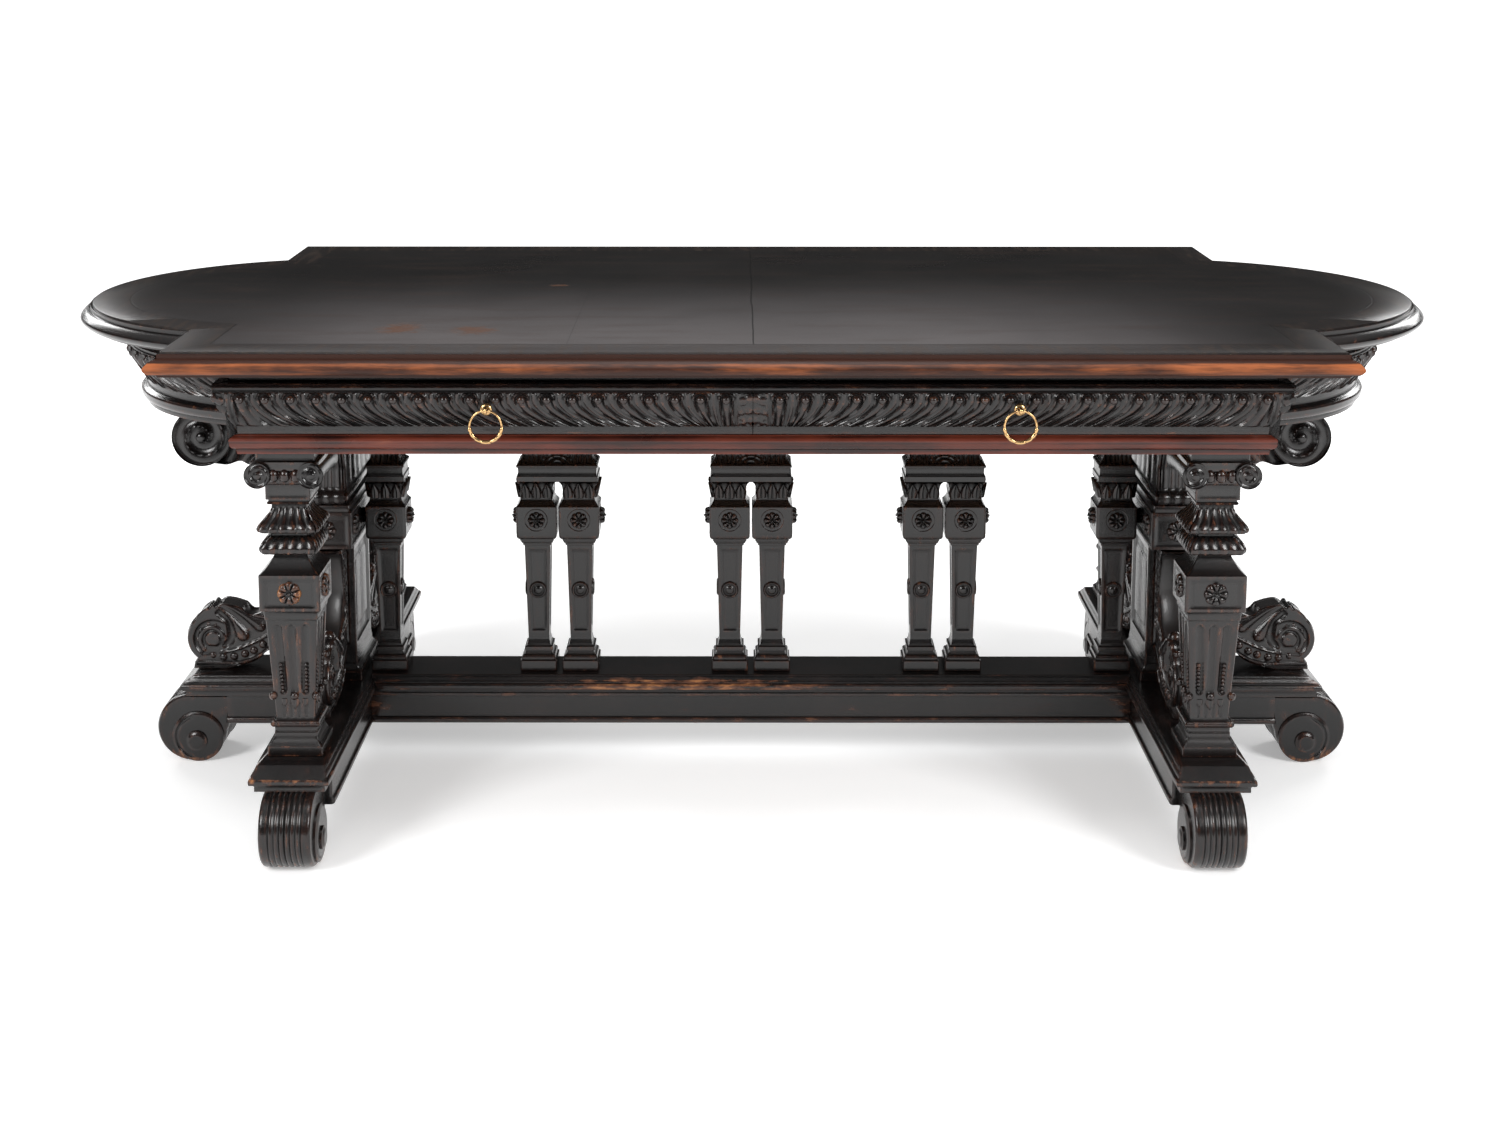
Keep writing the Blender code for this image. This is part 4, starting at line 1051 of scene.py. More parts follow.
LEG_KEYS = (
    (0.0000, 0.0398, 0.0), (0.0010, 0.0410, 0.0), (0.0150, 0.0410, 0.0), (0.0162, 0.0398, 0.0),
    (0.0350, 0.0318, -0.0028), (0.0358, 0.0312, 0.0), (0.0432, 0.0312, 0.0),
    (0.0440, 0.0345, 0.0), (0.0520, 0.0345, 0.0022), (0.0530, 0.0284, 0.0),
    (0.2100, 0.0378, 0.0), (0.2120, 0.0392, 0.0), (0.2150, 0.0396, 0.0),
    (0.2250, 0.0430, -0.0014), (0.2262, 0.0450, 0.0), (0.2805, 0.0450, 0.0),
    (0.2812, 0.0440, 0.0), (0.3069, 0.0245, -0.0020), (0.3100, 0.0250, 0.0),
    (0.3106, 0.0345, 0.0), (0.3198, 0.0440, 0.0036), (0.3378, 0.0292, 0.0026),
    (0.3434, 0.0287, 0.0), (0.3440, 0.0385, 0.0), (0.3500, 0.0462, 0.0026),
    (0.3600, 0.0390, 0.0010), (0.3785, 0.0262, -0.0016), (0.3840, 0.0255, 0.0),
    (0.3850, 0.0305, 0.0), (0.3884, 0.0312, 0.0008), (0.3894, 0.0295, 0.0), (0.3920, 0.0295, 0.0),
    (0.3927, 0.0330, 0.0), (0.4158, 0.0330, 0.0), (0.4165, 0.0385, 0.0), (0.4240, 0.0445, 0.0014),
    (0.4400, 0.0450, 0.0), (0.4410, 0.0500, 0.0), (0.4532, 0.0500, 0.0), (0.4540, 0.0430, 0.0),
    (LEG_HEIGHT, 0.0425, 0.0),
)
# Levels of a leg's carving, as heights over the beam
FLUTE_LEVELS = (0.094, 0.2035)
SLOT_LEVELS = (0.0575, 0.0800)
BLOCK_LEVELS = (0.2262, 0.2805)
REED_LEVELS = (0.3112, 0.3370)
BELL_LEVELS = (0.3446, 0.3780)
ROUNDED_LEVELS = (0.3108, 0.3700)
TOP_BLOCK_LEVELS = (0.3927, 0.4162)
# Places across a leg as shares of its half width, and the radius and depth of what is cut there
LEG_FLUTES = (-0.56, 0.0, 0.56)
FLUTE_SIZE = (0.0064, 0.0034)
LEG_SLOTS = (-0.6, -0.2, 0.2, 0.6)
SLOT_SIZE = (0.0032, 0.0018)
REED_DEPTH = 0.0022
REED_SLANT = 60
BELL_DEPTH = 0.0046
ROUNDED_DEPTH = 0.0034
# The balls of the leaf over the flutes and how far they stand out, and its tongues' lengths
LEAF_BALLS = ((-1.0, 0.0010), (0.0, 0.0016), (1.0, 0.0010))
LEAF_TONGUES = ((-0.5, 0.012), (0.0, 0.016), (0.5, 0.012))
# Heights over the beam
FLUTE_BEADS = 0.098 + np.arange(8) * 0.0060
LEAF_BALL_LEVEL = 0.0915
LEAF_TONGUE_LEVEL = 0.0865
LEG_ROSETTE_LEVEL = 0.2533
CAPITAL_LEVEL = 0.4346
EGG_LEVEL = 0.4330
DART_LEVEL = 0.4305
# How far from the leg's middle its rosettes, capital rolls, eggs and darts lie
LEG_ROSETTE_OUT = 0.0446
CAPITAL_OUT = 0.0388
EGG_OUT = 0.0478
DART_OUT = 0.0475
EGG_PLACES = (-0.0165, 0.0, 0.0165)
DART_PLACES = (-0.0245, -0.00825, 0.00825, 0.0245)


def leg_carving(heights, across, side, half):
    """Slots and flutes on the shaft, a sunk panel on the block, slanted reeds on the ring above
    it, long rounded gadroons on the bell, and a sunk panel on the top block."""
    up = heights - LEG_BOTTOM
    carved = flutes(up, across, half, *FLUTE_LEVELS, LEG_FLUTES, *FLUTE_SIZE)
    carved = carved + flutes(up, across, half, *SLOT_LEVELS, LEG_SLOTS, *SLOT_SIZE)
    carved = carved + sunk_panel(up, across, half, *BLOCK_LEVELS, 0.006)
    thirds = math.pi * 3 * (across + 1)
    reeds = arches(thirds + (up - 0.324) * REED_SLANT, 0.6)
    carved = carved + window(up, *REED_LEVELS, 0.003) * REED_DEPTH * (reeds - 0.8)
    lobes = arches(thirds, 0.5)
    carved = carved + window(up, *BELL_LEVELS, 0.003) * BELL_DEPTH * (lobes - 0.85)
    corner = np.clip((np.abs(across) - 0.80) / 0.20, 0, 1) ** 2
    carved = carved - ROUNDED_DEPTH * corner * window(up, *ROUNDED_LEVELS, 0.006)
    return carved + sunk_panel(up, across, half, *TOP_BLOCK_LEVELS, 0.0035, 0.0006)


def leaf_tongue(half_width, length, depth):
    """A small leaf that hangs from y = 0 along -Y and faces +Z: its half width is a sine of the
    share of its length, and it swells across as a half ellipse with a sunk midrib."""
    share = np.linspace(0, 1, LEAF_POINTS)[:, None]
    across = np.linspace(-1, 1, LEAF_POINTS)[None, :]
    wide = half_width * np.sin(math.pi * (0.35 + 0.63 * share)) ** 0.8
    swell = half_round(across) - 0.35 * bell(across / 0.18)
    front = np.broadcast_arrays(across * wide, -share * length, depth * swell)
    back = np.broadcast_arrays(across * wide * 0.9, -share * length, -LEAF_SINK + 0 * across)
    halves = [np.stack(front, axis=-1), np.stack(back, axis=-1)[:, ::-1]]
    return sheet(np.concatenate(halves, axis=1))


def leg_shape(rosette_wear=0.0):
    """A carved leg about the upright axis: the moulded post, its rosettes, beads, leaf balls, and
    a capital of two rolls with eggs between them."""
    up, halves = bow(LEG_KEYS, LEG_STEP)
    parts = [post(up + LEG_BOTTOM, halves, columns=28, carving=leg_carving)]
    bead = ball(0.0029, rings=6, angles=8)
    leaf_ball = ball(0.0064, stretch=0.8, rings=7, angles=12)
    for side in range(4):
        turn = facing(side)
        flower = rosette(0.0180, 0.0060).worn(rosette_wear)
        spot = turn @ (0.0, LEG_BOTTOM + LEG_ROSETTE_LEVEL, LEG_ROSETTE_OUT)
        parts.append(flower.placed(turn, spot))
        for across in LEG_FLUTES[::2]:
            for height in FLUTE_BEADS:
                out = np.interp(height, up, halves)
                spot = turn @ (across * out, LEG_BOTTOM + height, out - 0.0014)
                parts.append(bead.placed(shift=spot))
        out = np.interp(LEAF_BALL_LEVEL, up, halves)
        for across, proud in LEAF_BALLS:
            place = out + proud
            spot = turn @ (across * place, LEG_BOTTOM + LEAF_BALL_LEVEL, place)
            parts.append(leaf_ball.placed(turn, spot))
        for across, long in LEAF_TONGUES:
            leaf = leaf_tongue(0.4 * long, long, 0.15 * long)
            spot = turn @ (across * out, LEG_BOTTOM + LEAF_TONGUE_LEVEL, out - 0.0005)
            parts.append(leaf.placed(turn, spot))
    egg = ball(0.0078, stretch=1.35, rings=9, angles=14)
    dart = ball(0.0020, stretch=4.2, rings=7, angles=8)
    for way in WAYS:
        roll = drum(0.0193, 0.0565, pitch=0.0085, depth=0.0026, hand=way, waist=0.0030)
        parts.append(roll.placed(shift=(way * CAPITAL_OUT, 0.0, LEG_BOTTOM + CAPITAL_LEVEL)))
        for place in EGG_PLACES:
            parts.append(egg.placed(shift=(place, way * EGG_OUT, LEG_BOTTOM + EGG_LEVEL)))
        for place in DART_PLACES:
            parts.append(dart.placed(shift=(place, way * DART_OUT, LEG_BOTTOM + DART_LEVEL)))
    return joined(*parts)


def drum(radius, half_width, pitch, depth, hand=1, waist=0.0, eye=0.30, skin_rise=None, fine=1):
    """A roll about the Y axis. Each end carries a spiral groove: its phase is the distance from
    the rim over the pitch, less the share of a turn. The roll may be waisted along its length.
    fine multiplies the numbers of points round and across an end."""
    angles = ROLL_ANGLES * fine
    turn = full_turn(angles)[None, :]
    radial = np.linspace(ROLL_MIDDLE, 1.0, ROLL_RINGS * fine)[:, None] * radius

    def face(way):
        phase = (radius - radial) / pitch - way * hand * turn / (2 * math.pi)
        channel = arches(math.pi * phase, 0.8)
        rim = np.clip((radius - radial) / 0.0016, 0, 1)
        boss = -0.6 * depth * half_round(radial / (eye * radius))
        sunk = np.where(radial < eye * radius, boss, depth * channel * rim)
        return way * (half_width - sunk)

    across = np.linspace(-1, 1, 20)[1:-1, None]
    skin = radius - waist * np.cos(across * math.pi / 2) ** 0.7
    if skin_rise is not None:
        skin = skin + skin_rise(across)
    radii = np.concatenate([radial, skin[::-1], radial[::-1]])
    long = np.broadcast_to(across[::-1] * half_width, (len(across), angles))
    y = np.concatenate([face(1), long, face(-1)[::-1]])
    roll = woven(radii * np.cos(turn), y, radii * np.sin(turn))
    roll.relief *= 0.5
    return roll


REEDED_SHARE = 0.64


def reeded(across):
    """Six reeds between two plain borders, as a height over the skin."""
    reeds = arches(across / REEDED_SHARE * math.pi * 3, 0.7)
    return np.where(np.abs(across) < REEDED_SHARE, 0.0030 * reeds - 0.0026, 0.0)


def slab(outline, spine, half_width, crown=None, side=None, fronts=17, sides=9):
    """A thick scroll-sawn board: the outline is a line of (reach, height) points, the spine a
    line of as many points behind it. Each row runs over the front edge, where crown adds to the
    outline along its normal, and down both sides to the spine, where side adds to the width."""
    outline, spine = np.asarray(outline, float), np.asarray(spine, float)
    d_reach, d_up = np.gradient(outline[:, 0]), np.gradient(outline[:, 1])
    length = np.hypot(d_reach, d_up) + TINY
    normal = np.stack([d_up, -d_reach], axis=-1) / length[:, None]
    inward = np.einsum("ij,ij->i", normal, spine - outline)
    normal *= np.where(np.sum(inward) > 0, -1.0, 1.0)
    across = np.linspace(-1, 1, fronts)
    along = np.linspace(0, 1, len(outline))[:, None]
    rise = crown(along, across[None, :]) if crown else 0.0
    rise = np.broadcast_to(rise, (len(outline), fronts))
    front = outline[:, None] + normal[:, None] * rise[..., None]
    share = np.linspace(0.03, 1.0, sides)[None, :, None]
    cheek = front[:, -1:] + (spine[:, None] - front[:, -1:]) * share
    out = side(cheek[..., 0], cheek[..., 1]) if side else np.zeros(cheek.shape[:2])
    front_y = np.broadcast_to(across * half_width, front.shape[:2])
    cheek_y = half_width + np.broadcast_to(out, cheek.shape[:2])
    plane = np.concatenate([front, cheek, cheek[:, ::-1]], axis=1)
    y = np.concatenate([front_y, cheek_y, -cheek_y[:, ::-1]], axis=1)
    return woven(plane[..., 0], y, plane[..., 1])


def scroll_rise(distance, angle):
    """A foot's inner disc: a raised round with a narrow groove inside its outer edge."""
    groove = hump((distance - 0.84) / 0.05) * ease(np.cos(angle), 0.0, 0.6)
    return 0.0045 - 0.0018 * ease(distance, 0.90, 1.0) - 0.0018 * groove


def eye_rise(distance, angle):
    """A foot's eye: a flat button with a rounded edge."""
    return 0.0105 - 0.0030 * ease(distance, 0.6, 1.0)


FOOT_RADIUS = 0.0575
FOOT_TOP = 0.1142
# A foot's disc and eye: radius, how far behind the roll's centre, height, how it rises, and its
# numbers of angles and rings
FOOT_ROUNDS = (
    (0.0428, 0.0105, 0.0437, scroll_rise, (60, 20)),
    (0.0175, 0.0085, 0.0370, eye_rise, (36, 10)),
)
# Reach of the roll's centre, reach of the heel and half width of the two kinds of foot
END_FOOT = (0.4405, 0.3790, 0.0380)
OUTER_FOOT = (0.2490, 0.1880, 0.0490)


def foot_shape(reach, heel, half_width):
    """A scroll foot in the plane of its beam: a reeded roll, an inner disc and an eye that stand
    out in turn on each side, and the web that joins it to the beam. Its underside is worn."""
    centre = np.array([reach, FOOT_RADIUS])
    roll = arc(centre, FOOT_RADIUS, 88, -176, 80)
    start = [(heel, FOOT_TOP), ((reach + heel) / 2, FOOT_TOP), (reach, FOOT_TOP)]
    end = [(heel + 0.0004, 0.0600), (heel, 0.0665)]
    behind = (heel, 0.0900)

    def crown(along, across):
        round_off = np.clip((np.abs(across) - 0.88) / 0.12, 0, 1) ** 2
        return reeded(across) - 0.0030 * round_off

    outline = np.concatenate([start, roll, end])
    to_centre = np.linspace(behind, centre, 3)
    spine = np.concatenate([to_centre, np.repeat([centre], len(roll), 0), to_centre[1::-1]])
    parts = [slab(outline, spine, half_width, crown, fronts=49, sides=6)]
    for way in WAYS:
        turn = np.array([(1, 0, 0), (0, 0, -way), (0, way, 0)], float)
        for radius, behind_centre, height, rise, counts in FOOT_ROUNDS:
            disc = relief_disc(radius, rise, *counts)
            spot = (reach - behind_centre, -way * half_width, height)
            parts.append(disc.placed(turn, spot))
    shape = joined(*parts)
    shape.points[:, 2] = np.maximum(shape.points[:, 2], 0.0)
    return shape.worn(0.40 * ease(shape.points[:, 2], 0.030, 0.004))


VOLUTE = np.array([0.2145, 0.0530])
VOLUTE_RADIUS = 0.0440
CONSOLE_HALF_WIDTH = 0.0215
CONSOLE_TOP = 0.2318
# Turns a leaf's +Z to a console's reach and its +Y up
FACING_REACH = np.array([(0.0, 0.0, 1.0), (1.0, 0.0, 0.0), (0.0, 1.0, 0.0)])
# Where a console meets its pier, and the climb up to there, as reach and height
SIDE_ROOT = 0.0340
END_ROOT = 0.0793
SIDE_CLIMB = (
    (0.1520, 0.0930), (0.1290, 0.1000), (0.0950, 0.1240), (0.0650, 0.1650), (0.0450, 0.2050),
    (0.0345, CONSOLE_TOP),
)
END_CLIMB = (
    (0.1520, 0.0930), (0.1350, 0.0985), (0.1120, 0.1150), (0.0930, 0.1480), (0.0900, 0.1830),
    (0.0990, 0.2130), (0.1175, CONSOLE_TOP),
)
# The underside from the pier's side to the volute's foot, and the leafy crest over the volute
CONSOLE_UNDERSIDE = (
    (0.1228, 0.0332), (0.1374, 0.0207), (0.1520, 0.0124), (0.1728, 0.0067), (0.1978, 0.0010),
)
CONSOLE_CREST = (
    (0.2427, 0.0867), (0.2375, 0.0940), (0.2300, 0.1010), (0.2231, 0.1050), (0.2190, 0.1042),
    (0.2140, 0.1105), (0.2090, 0.1062), (0.1984, 0.1120), (0.1820, 0.1100), (0.1655, 0.1045),
)
# Balls of the crest as seen edge on: radius, rings, angles, reach, place across, height
CREST_BALLS = ((0.0108, 11, 18, 0.1860, 0.0112, 0.1120), (0.0060, 9, 14, 0.2330, 0.0165, 0.1010))
# The ground of a console's cheek lies this far in; where the climb's ribs turn, and their pitch
CHEEK_SINK = 0.0020
RIB_CENTRE = (0.150, 0.250)
RIB_PITCH = 0.0150
# Rise over the ground, then stations from the volute's centre: reach, height, half width
CARVED_LINES = (
    (0.0052, ((-0.0917, -0.0178, 0.0040), (-0.0771, -0.0290, 0.0040), (-0.0625, -0.0366, 0.0040),
              (-0.0417, -0.0420, 0.0040), (-0.0167, -0.0420, 0.0040), (0.0030, -0.0398, 0.0042))),
    (0.0030, ((-0.0896, 0.0052, 0.0032), (-0.0667, -0.0073, 0.0032), (-0.0354, -0.0198, 0.0032),
              (-0.0125, -0.0240, 0.0032))),
    (0.0058, ((-0.0490, 0.0063, 0.0115), (-0.0354, 0.0281, 0.0083), (-0.0208, 0.0469, 0.0056),
              (-0.0104, 0.0552, 0.0030))),
    (0.0050, ((-0.0771, 0.0219, 0.0104), (-0.0584, 0.0365, 0.0073), (-0.0375, 0.0511, 0.0056),
              (-0.0167, 0.0604, 0.0030))),
    (0.0040, ((-0.0917, 0.0365, 0.0052), (-0.0709, 0.0406, 0.0052), (-0.0500, 0.0521, 0.0052),
              (-0.0292, 0.0610, 0.0045), (-0.0146, 0.0625, 0.0030))),
    (-0.0046, ((-0.0120, 0.0440, 0.0075), (-0.0270, 0.0290, 0.0085), (-0.0305, 0.0094, 0.0085),
               (-0.0281, -0.0031, 0.0075), (-0.0208, -0.0115, 0.0060))),
)
# How far a pearl's middle lies under the cheek, and how flat it is
PEARL_SINK = 0.0028
PEARL_FLATTENED = np.diag([1.0, 0.72, 1.0])
# Pearls from the volute's centre: reach, height, radius
PEARLS = (
    (-0.0823, -0.0108, 0.0073), (-0.0667, -0.0213, 0.0073), (-0.0517, -0.0271, 0.0073),
    (-0.0333, -0.0317, 0.0073), (-0.0156, -0.0327, 0.0070), (0.0017, -0.0296, 0.0060),
    (0.0167, -0.0188, 0.0052), (0.0254, -0.0021, 0.0046), (0.0208, 0.0142, 0.0042),
    (0.0073, 0.0240, 0.0036), (-0.0042, 0.0229, 0.0032), (-0.0505, 0.0046, 0.0100),
    (-0.0792, 0.0198, 0.0090),
)


def outline_and_spine(pieces):
    """A slab's outline and spine from pieces of (line, first and last place of the spine)."""
    outline = np.concatenate([line for line, _, _ in pieces])
    spine = np.concatenate([np.linspace(low, high, len(line)) for line, low, high in pieces])
    return outline, spine


def console_side(reach, height):
    """How far a console's cheek stands out: a raised rim round the volute, a sunk channel for the
    pearls, a smooth roll and a spiral eye inside it, and the leaf's petals behind it."""
    x, y = reach - VOLUTE[0], height - VOLUTE[1]
    away, angle = np.hypot(x, y), np.arctan2(y, x)
    rim = 0.0040 * ease(away, 0.0290, 0.0345) * ease(angle, -1.5, -1.0) * ease(angle, 2.6, 1.9)
    winding = away + 0.0022 * (angle - 1.1)
    roll = 0.0030 * hump((winding - 0.0196) / 0.0046) * ease(np.abs(angle - 1.1), 2.4, 1.6)
    off_centre = np.hypot(x - 0.0010, y + 0.0010)
    eye = 0.0036 * ease(off_centre, 0.0150, 0.0105)
    rise, sunk = np.maximum.reduce([rim, roll, eye]), 0.0
    for lift, stations in CARVED_LINES:
        gap = near_line(x, y, stations)
        ridge = lift * np.clip(1 - gap ** 2, 0, 1)
        if lift > 0.0:
            rise = np.maximum(rise, ridge)
        else:
            sunk = np.minimum(sunk, ridge)
    climb = np.hypot(reach - RIB_CENTRE[0], height - RIB_CENTRE[1])
    ribs = 0.5 + 0.5 * np.sin(2 * math.pi * climb / RIB_PITCH)
    rise = np.maximum(rise, 0.0042 * ribs * ease(reach, 0.135, 0.118) * ease(height, 0.085, 0.100))
    return rise + sunk - CHEEK_SINK


def console_shape(base_root, climb, edge_on):
    """A lower console as reach from the trestle's middle and height over the beam: a volute that
    stands on the beam, a leafy crest over it and a hollow climb to the pier. Seen edge on, its
    front is a trough between two borders with reeds round the roll."""
    middle = (base_root + CONSOLE_UNDERSIDE[0][0]) / 2
    lower = [(base_root, 0.060), (middle, 0.047), *CONSOLE_UNDERSIDE]
    start, end = np.array([base_root, 0.10]), np.array([0.150, 0.070])
    pieces = (
        (smooth_line(lower, 64), start, VOLUTE),
        (np.array([(0.2484, 0.0010), (0.2484, 0.0088)]), VOLUTE, VOLUTE),
        (arc(VOLUTE, VOLUTE_RADIUS, -53, 50, 48), VOLUTE, VOLUTE),
        (smooth_line(CONSOLE_CREST, 84), VOLUTE, end),
        (smooth_line([CONSOLE_CREST[-1], *climb], 52), end, start),
        (np.array([(base_root, CONSOLE_TOP)]), start, start),
    )
    outline, spine = outline_and_spine(pieces)
    marks = np.cumsum([len(line) for line, _, _ in pieces]) / len(outline)

    def crown(along, across):
        borders = 0.0012 * window(np.abs(across), 0.78, 1.0, 0.06)
        reeds = arches(across / 0.7 * math.pi * 2, 0.7) * (np.abs(across) < 0.7)
        on_roll = window(along, marks[1] - 0.01, marks[2], 0.02)
        on_climb = ease(along, marks[3] - 0.01, marks[3] + 0.03)
        trough = -0.0042 * hump(across / 0.8) * on_climb * ease(along, 0.995, 0.96)
        return borders * (1 - on_roll) + (0.0026 * reeds - 0.0010) * on_roll + trough

    parts = [slab(outline, spine, CONSOLE_HALF_WIDTH, crown, console_side, 17, 34)]
    web_top = smooth_line([(base_root, 0.060), (middle, 0.040), (0.118, 0.024)], 16)
    web_foot = np.stack([web_top[:, 0], np.full(16, 0.0005)], axis=-1)
    parts.append(slab(web_top, web_foot, 0.0150))
    for x, y, radius in PEARLS:
        for way in WAYS:
            spot = (VOLUTE[0] + x, way * (CONSOLE_HALF_WIDTH - PEARL_SINK), VOLUTE[1] + y)
            parts.append(ball(radius, rings=8, angles=12).placed(PEARL_FLATTENED, spot))
    if edge_on:
        for way in WAYS:
            for radius, rings, angles, reach, aside, height in CREST_BALLS:
                round_leaf = ball(radius, rings=rings, angles=angles)
                parts.append(round_leaf.placed(shift=(reach, way * aside, height)))
        tongue = leaf_tongue(0.0075, 0.030, 0.0050).placed(FACING_REACH, (0.2300, 0.0, 0.1130))
        parts.append(tongue)
    return joined(*parts).placed(shift=(0.0, 0.0, LEG_BOTTOM))


BRACKET_EYE = np.array([0.2195, 0.3992])
BRACKET_RADIUS = 0.0480
# The leafy underside and the line behind the volute: reach, and depth under the leg's top
BRACKET_UNDERSIDE = (
    (0.037, 0.097), (0.080, 0.100), (0.105, 0.112), (0.122, 0.108), (0.140, 0.121),
    (0.158, 0.115), (0.182, 0.122), (0.205, 0.1205),
)
BRACKET_BACK = ((0.215, 0.0275), (0.190, 0.018), (0.160, 0.0005))


def bracket_side(reach, height):
    """How far an upper bracket's cheek stands out: three ribs of a leaf that run from the volute
    back to the pier, with a dark hollow beside the volute."""
    away = np.hypot(reach - 0.060, height - 0.300)
    ribs = arches(math.pi * away / 0.0200, 0.7)
    hollow = hump((np.hypot(reach - BRACKET_EYE[0], height - BRACKET_EYE[1]) - 0.058) / 0.009)
    return 0.0045 * ribs * ease(reach, 0.170, 0.155) - 0.0080 * hollow - CHEEK_SINK


def bracket_shape():
    """An upper bracket: a rolled volute with a raised rim, small leaf tips under it, and a ribbed
    leaf that runs back to the pier."""
    top = LEG_HEIGHT
    under = smooth_line([(reach, top - drop) for reach, drop in BRACKET_UNDERSIDE], 70)
    back = smooth_line([(reach, top - drop) for reach, drop in BRACKET_BACK], 14)
    over = np.linspace((0.150, top), (0.037, top), 20)
    root, far, near = (np.array([reach, top - 0.045]) for reach in (0.037, 0.150, 0.140))
    pieces = (
        (under, root, BRACKET_EYE),
        (arc(BRACKET_EYE, BRACKET_RADIUS - 0.001, -92, 92, 50), BRACKET_EYE, BRACKET_EYE),
        (back, BRACKET_EYE, far),
        (over, near, root),
    )
    outline, spine = outline_and_spine(pieces)

    def crown(along, across):
        ribs = 0.0024 * np.abs(np.sin(across * math.pi * 2.5)) * ease(along, 0.42, 0.36)
        return ribs - 0.002 * np.clip((np.abs(across) - 0.85) / 0.15, 0, 1) ** 2

    body = slab(outline, spine, 0.0265, crown, bracket_side, 25, 26)
    roll = drum(BRACKET_RADIUS, 0.0310, 0.0235, 0.0060, hand=-1, eye=0.16, waist=0.0012, fine=2)
    roll = roll.placed(shift=(BRACKET_EYE[0], 0.0, BRACKET_EYE[1]))
    return joined(body, roll).placed(shift=(0.0, 0.0, LEG_BOTTOM - 0.0006))


PIER_KEYS = (
    (0.0, 0.0405, 0.0), (0.001, 0.042, 0.0), (0.016, 0.042, 0.0), (0.0172, 0.0405, 0.0),
    (0.030, 0.0345, -0.0020), (0.0400, 0.0332, 0.0), (0.2320, 0.0332, 0.0),
    (0.2380, 0.0375, -0.0008), (0.2395, 0.0420, 0.0), (0.2990, 0.0420, 0.0),
    (0.3000, 0.0405, 0.0), (0.3100, 0.0380, -0.0008), (0.3140, 0.0332, 0.0),
    (0.3180, 0.0355, 0.0), (0.3260, 0.0385, 0.0014), (0.3330, 0.0345, 0.0012),
    (0.3620, 0.0335, 0.0), (0.4200, 0.0350, 0.0), (0.4560, 0.0395, 0.0), (0.4660, 0.0405, 0.0010),
    (LEG_HEIGHT, 0.0395, 0.0),
)
# Height over the beam and how much deeper than wide half the pier is there
PIER_DEPTHS = (
    (0.0, 0.0368), (0.2322, 0.0368), (0.2380, 0.0800), (0.2395, 0.0880), (0.3140, 0.0880),
    (0.3200, 0.0960), (0.3290, 0.0990), (0.3360, 0.0900), (0.3700, 0.0890), (0.4100, 0.1060),
    (0.4450, 0.1350), (0.4620, 0.1480), (0.4680, 0.1490), (LEG_HEIGHT, 0.1480),
)


# Levels of a pier's carving, as heights over the beam
PIER_PANEL = (0.050, 0.228)
PIER_BEAD = (0.062, 0.216)
PIER_LINES = (0.064, 0.214)
PIER_BLOCK = (0.2400, 0.2990)
PIER_HEAD = (0.3360, 0.4640)
# Edge lines of the head: distances from its edge
EDGE_LINES = ((0.0018, 0.0036), (0.0054, 0.0072))
LINE_PITCH = 0.0110


def pier_carving(heights, across, side, half):
    """Sunk panels with a bead inside on the shaft and the block; the head is an acanthus whose
    ribs fan out upwards from a rolled foot, with thin upright lines at its edges."""
    up = heights - LEG_BOTTOM
    carved = sunk_panel(up, across, half, *PIER_PANEL, 0.012, 0.0040)
    carved = carved + sunk_panel(up, across, half, *PIER_BEAD, 0.020, -0.0022)
    carved = carved + sunk_panel(up, across, half, *PIER_BLOCK, 0.007)
    place = across * half
    lines = 1 - np.abs(np.cos(math.pi * place / LINE_PITCH)) ** 0.6
    panel = window(np.abs(place), -0.1, half - 0.0130, 0.001) * window(up, *PIER_LINES, 0.002)
    carved = carved - 0.0022 * lines * panel
    on_head = window(up, *PIER_HEAD, 0.006)
    ribs = np.abs(np.cos(math.pi * 3 * across)) ** 0.6
    midrib = 1.2 * bell(place / 0.0030)
    edges = sum(window(half - np.abs(place), *line, 0.0008) for line in EDGE_LINES)
    leaf = np.where(np.abs(place) < half - 0.0090, np.maximum(ribs, midrib), 0.4 + edges)
    return carved + on_head * 0.0034 * (leaf - 1.0)


def small_reeds(across):
    """Four small reeds along a roll."""
    return 0.0016 * np.abs(np.sin(across * math.pi * 2)) - 0.0010


# Side of the pier, place across it, and how far out
PIER_ROSETTES = (
    (0, 0.0, 0.130), (2, 0.0, 0.130), (1, -0.088, 0.042), (1, 0.088, 0.042), (3, -0.088, 0.042),
    (3, 0.088, 0.042),
)
PIER_ROSETTE_LEVEL = 0.2695
PIER_ROLL_LEVEL = 0.3250
PIER_ROLL_OUT = 0.1300


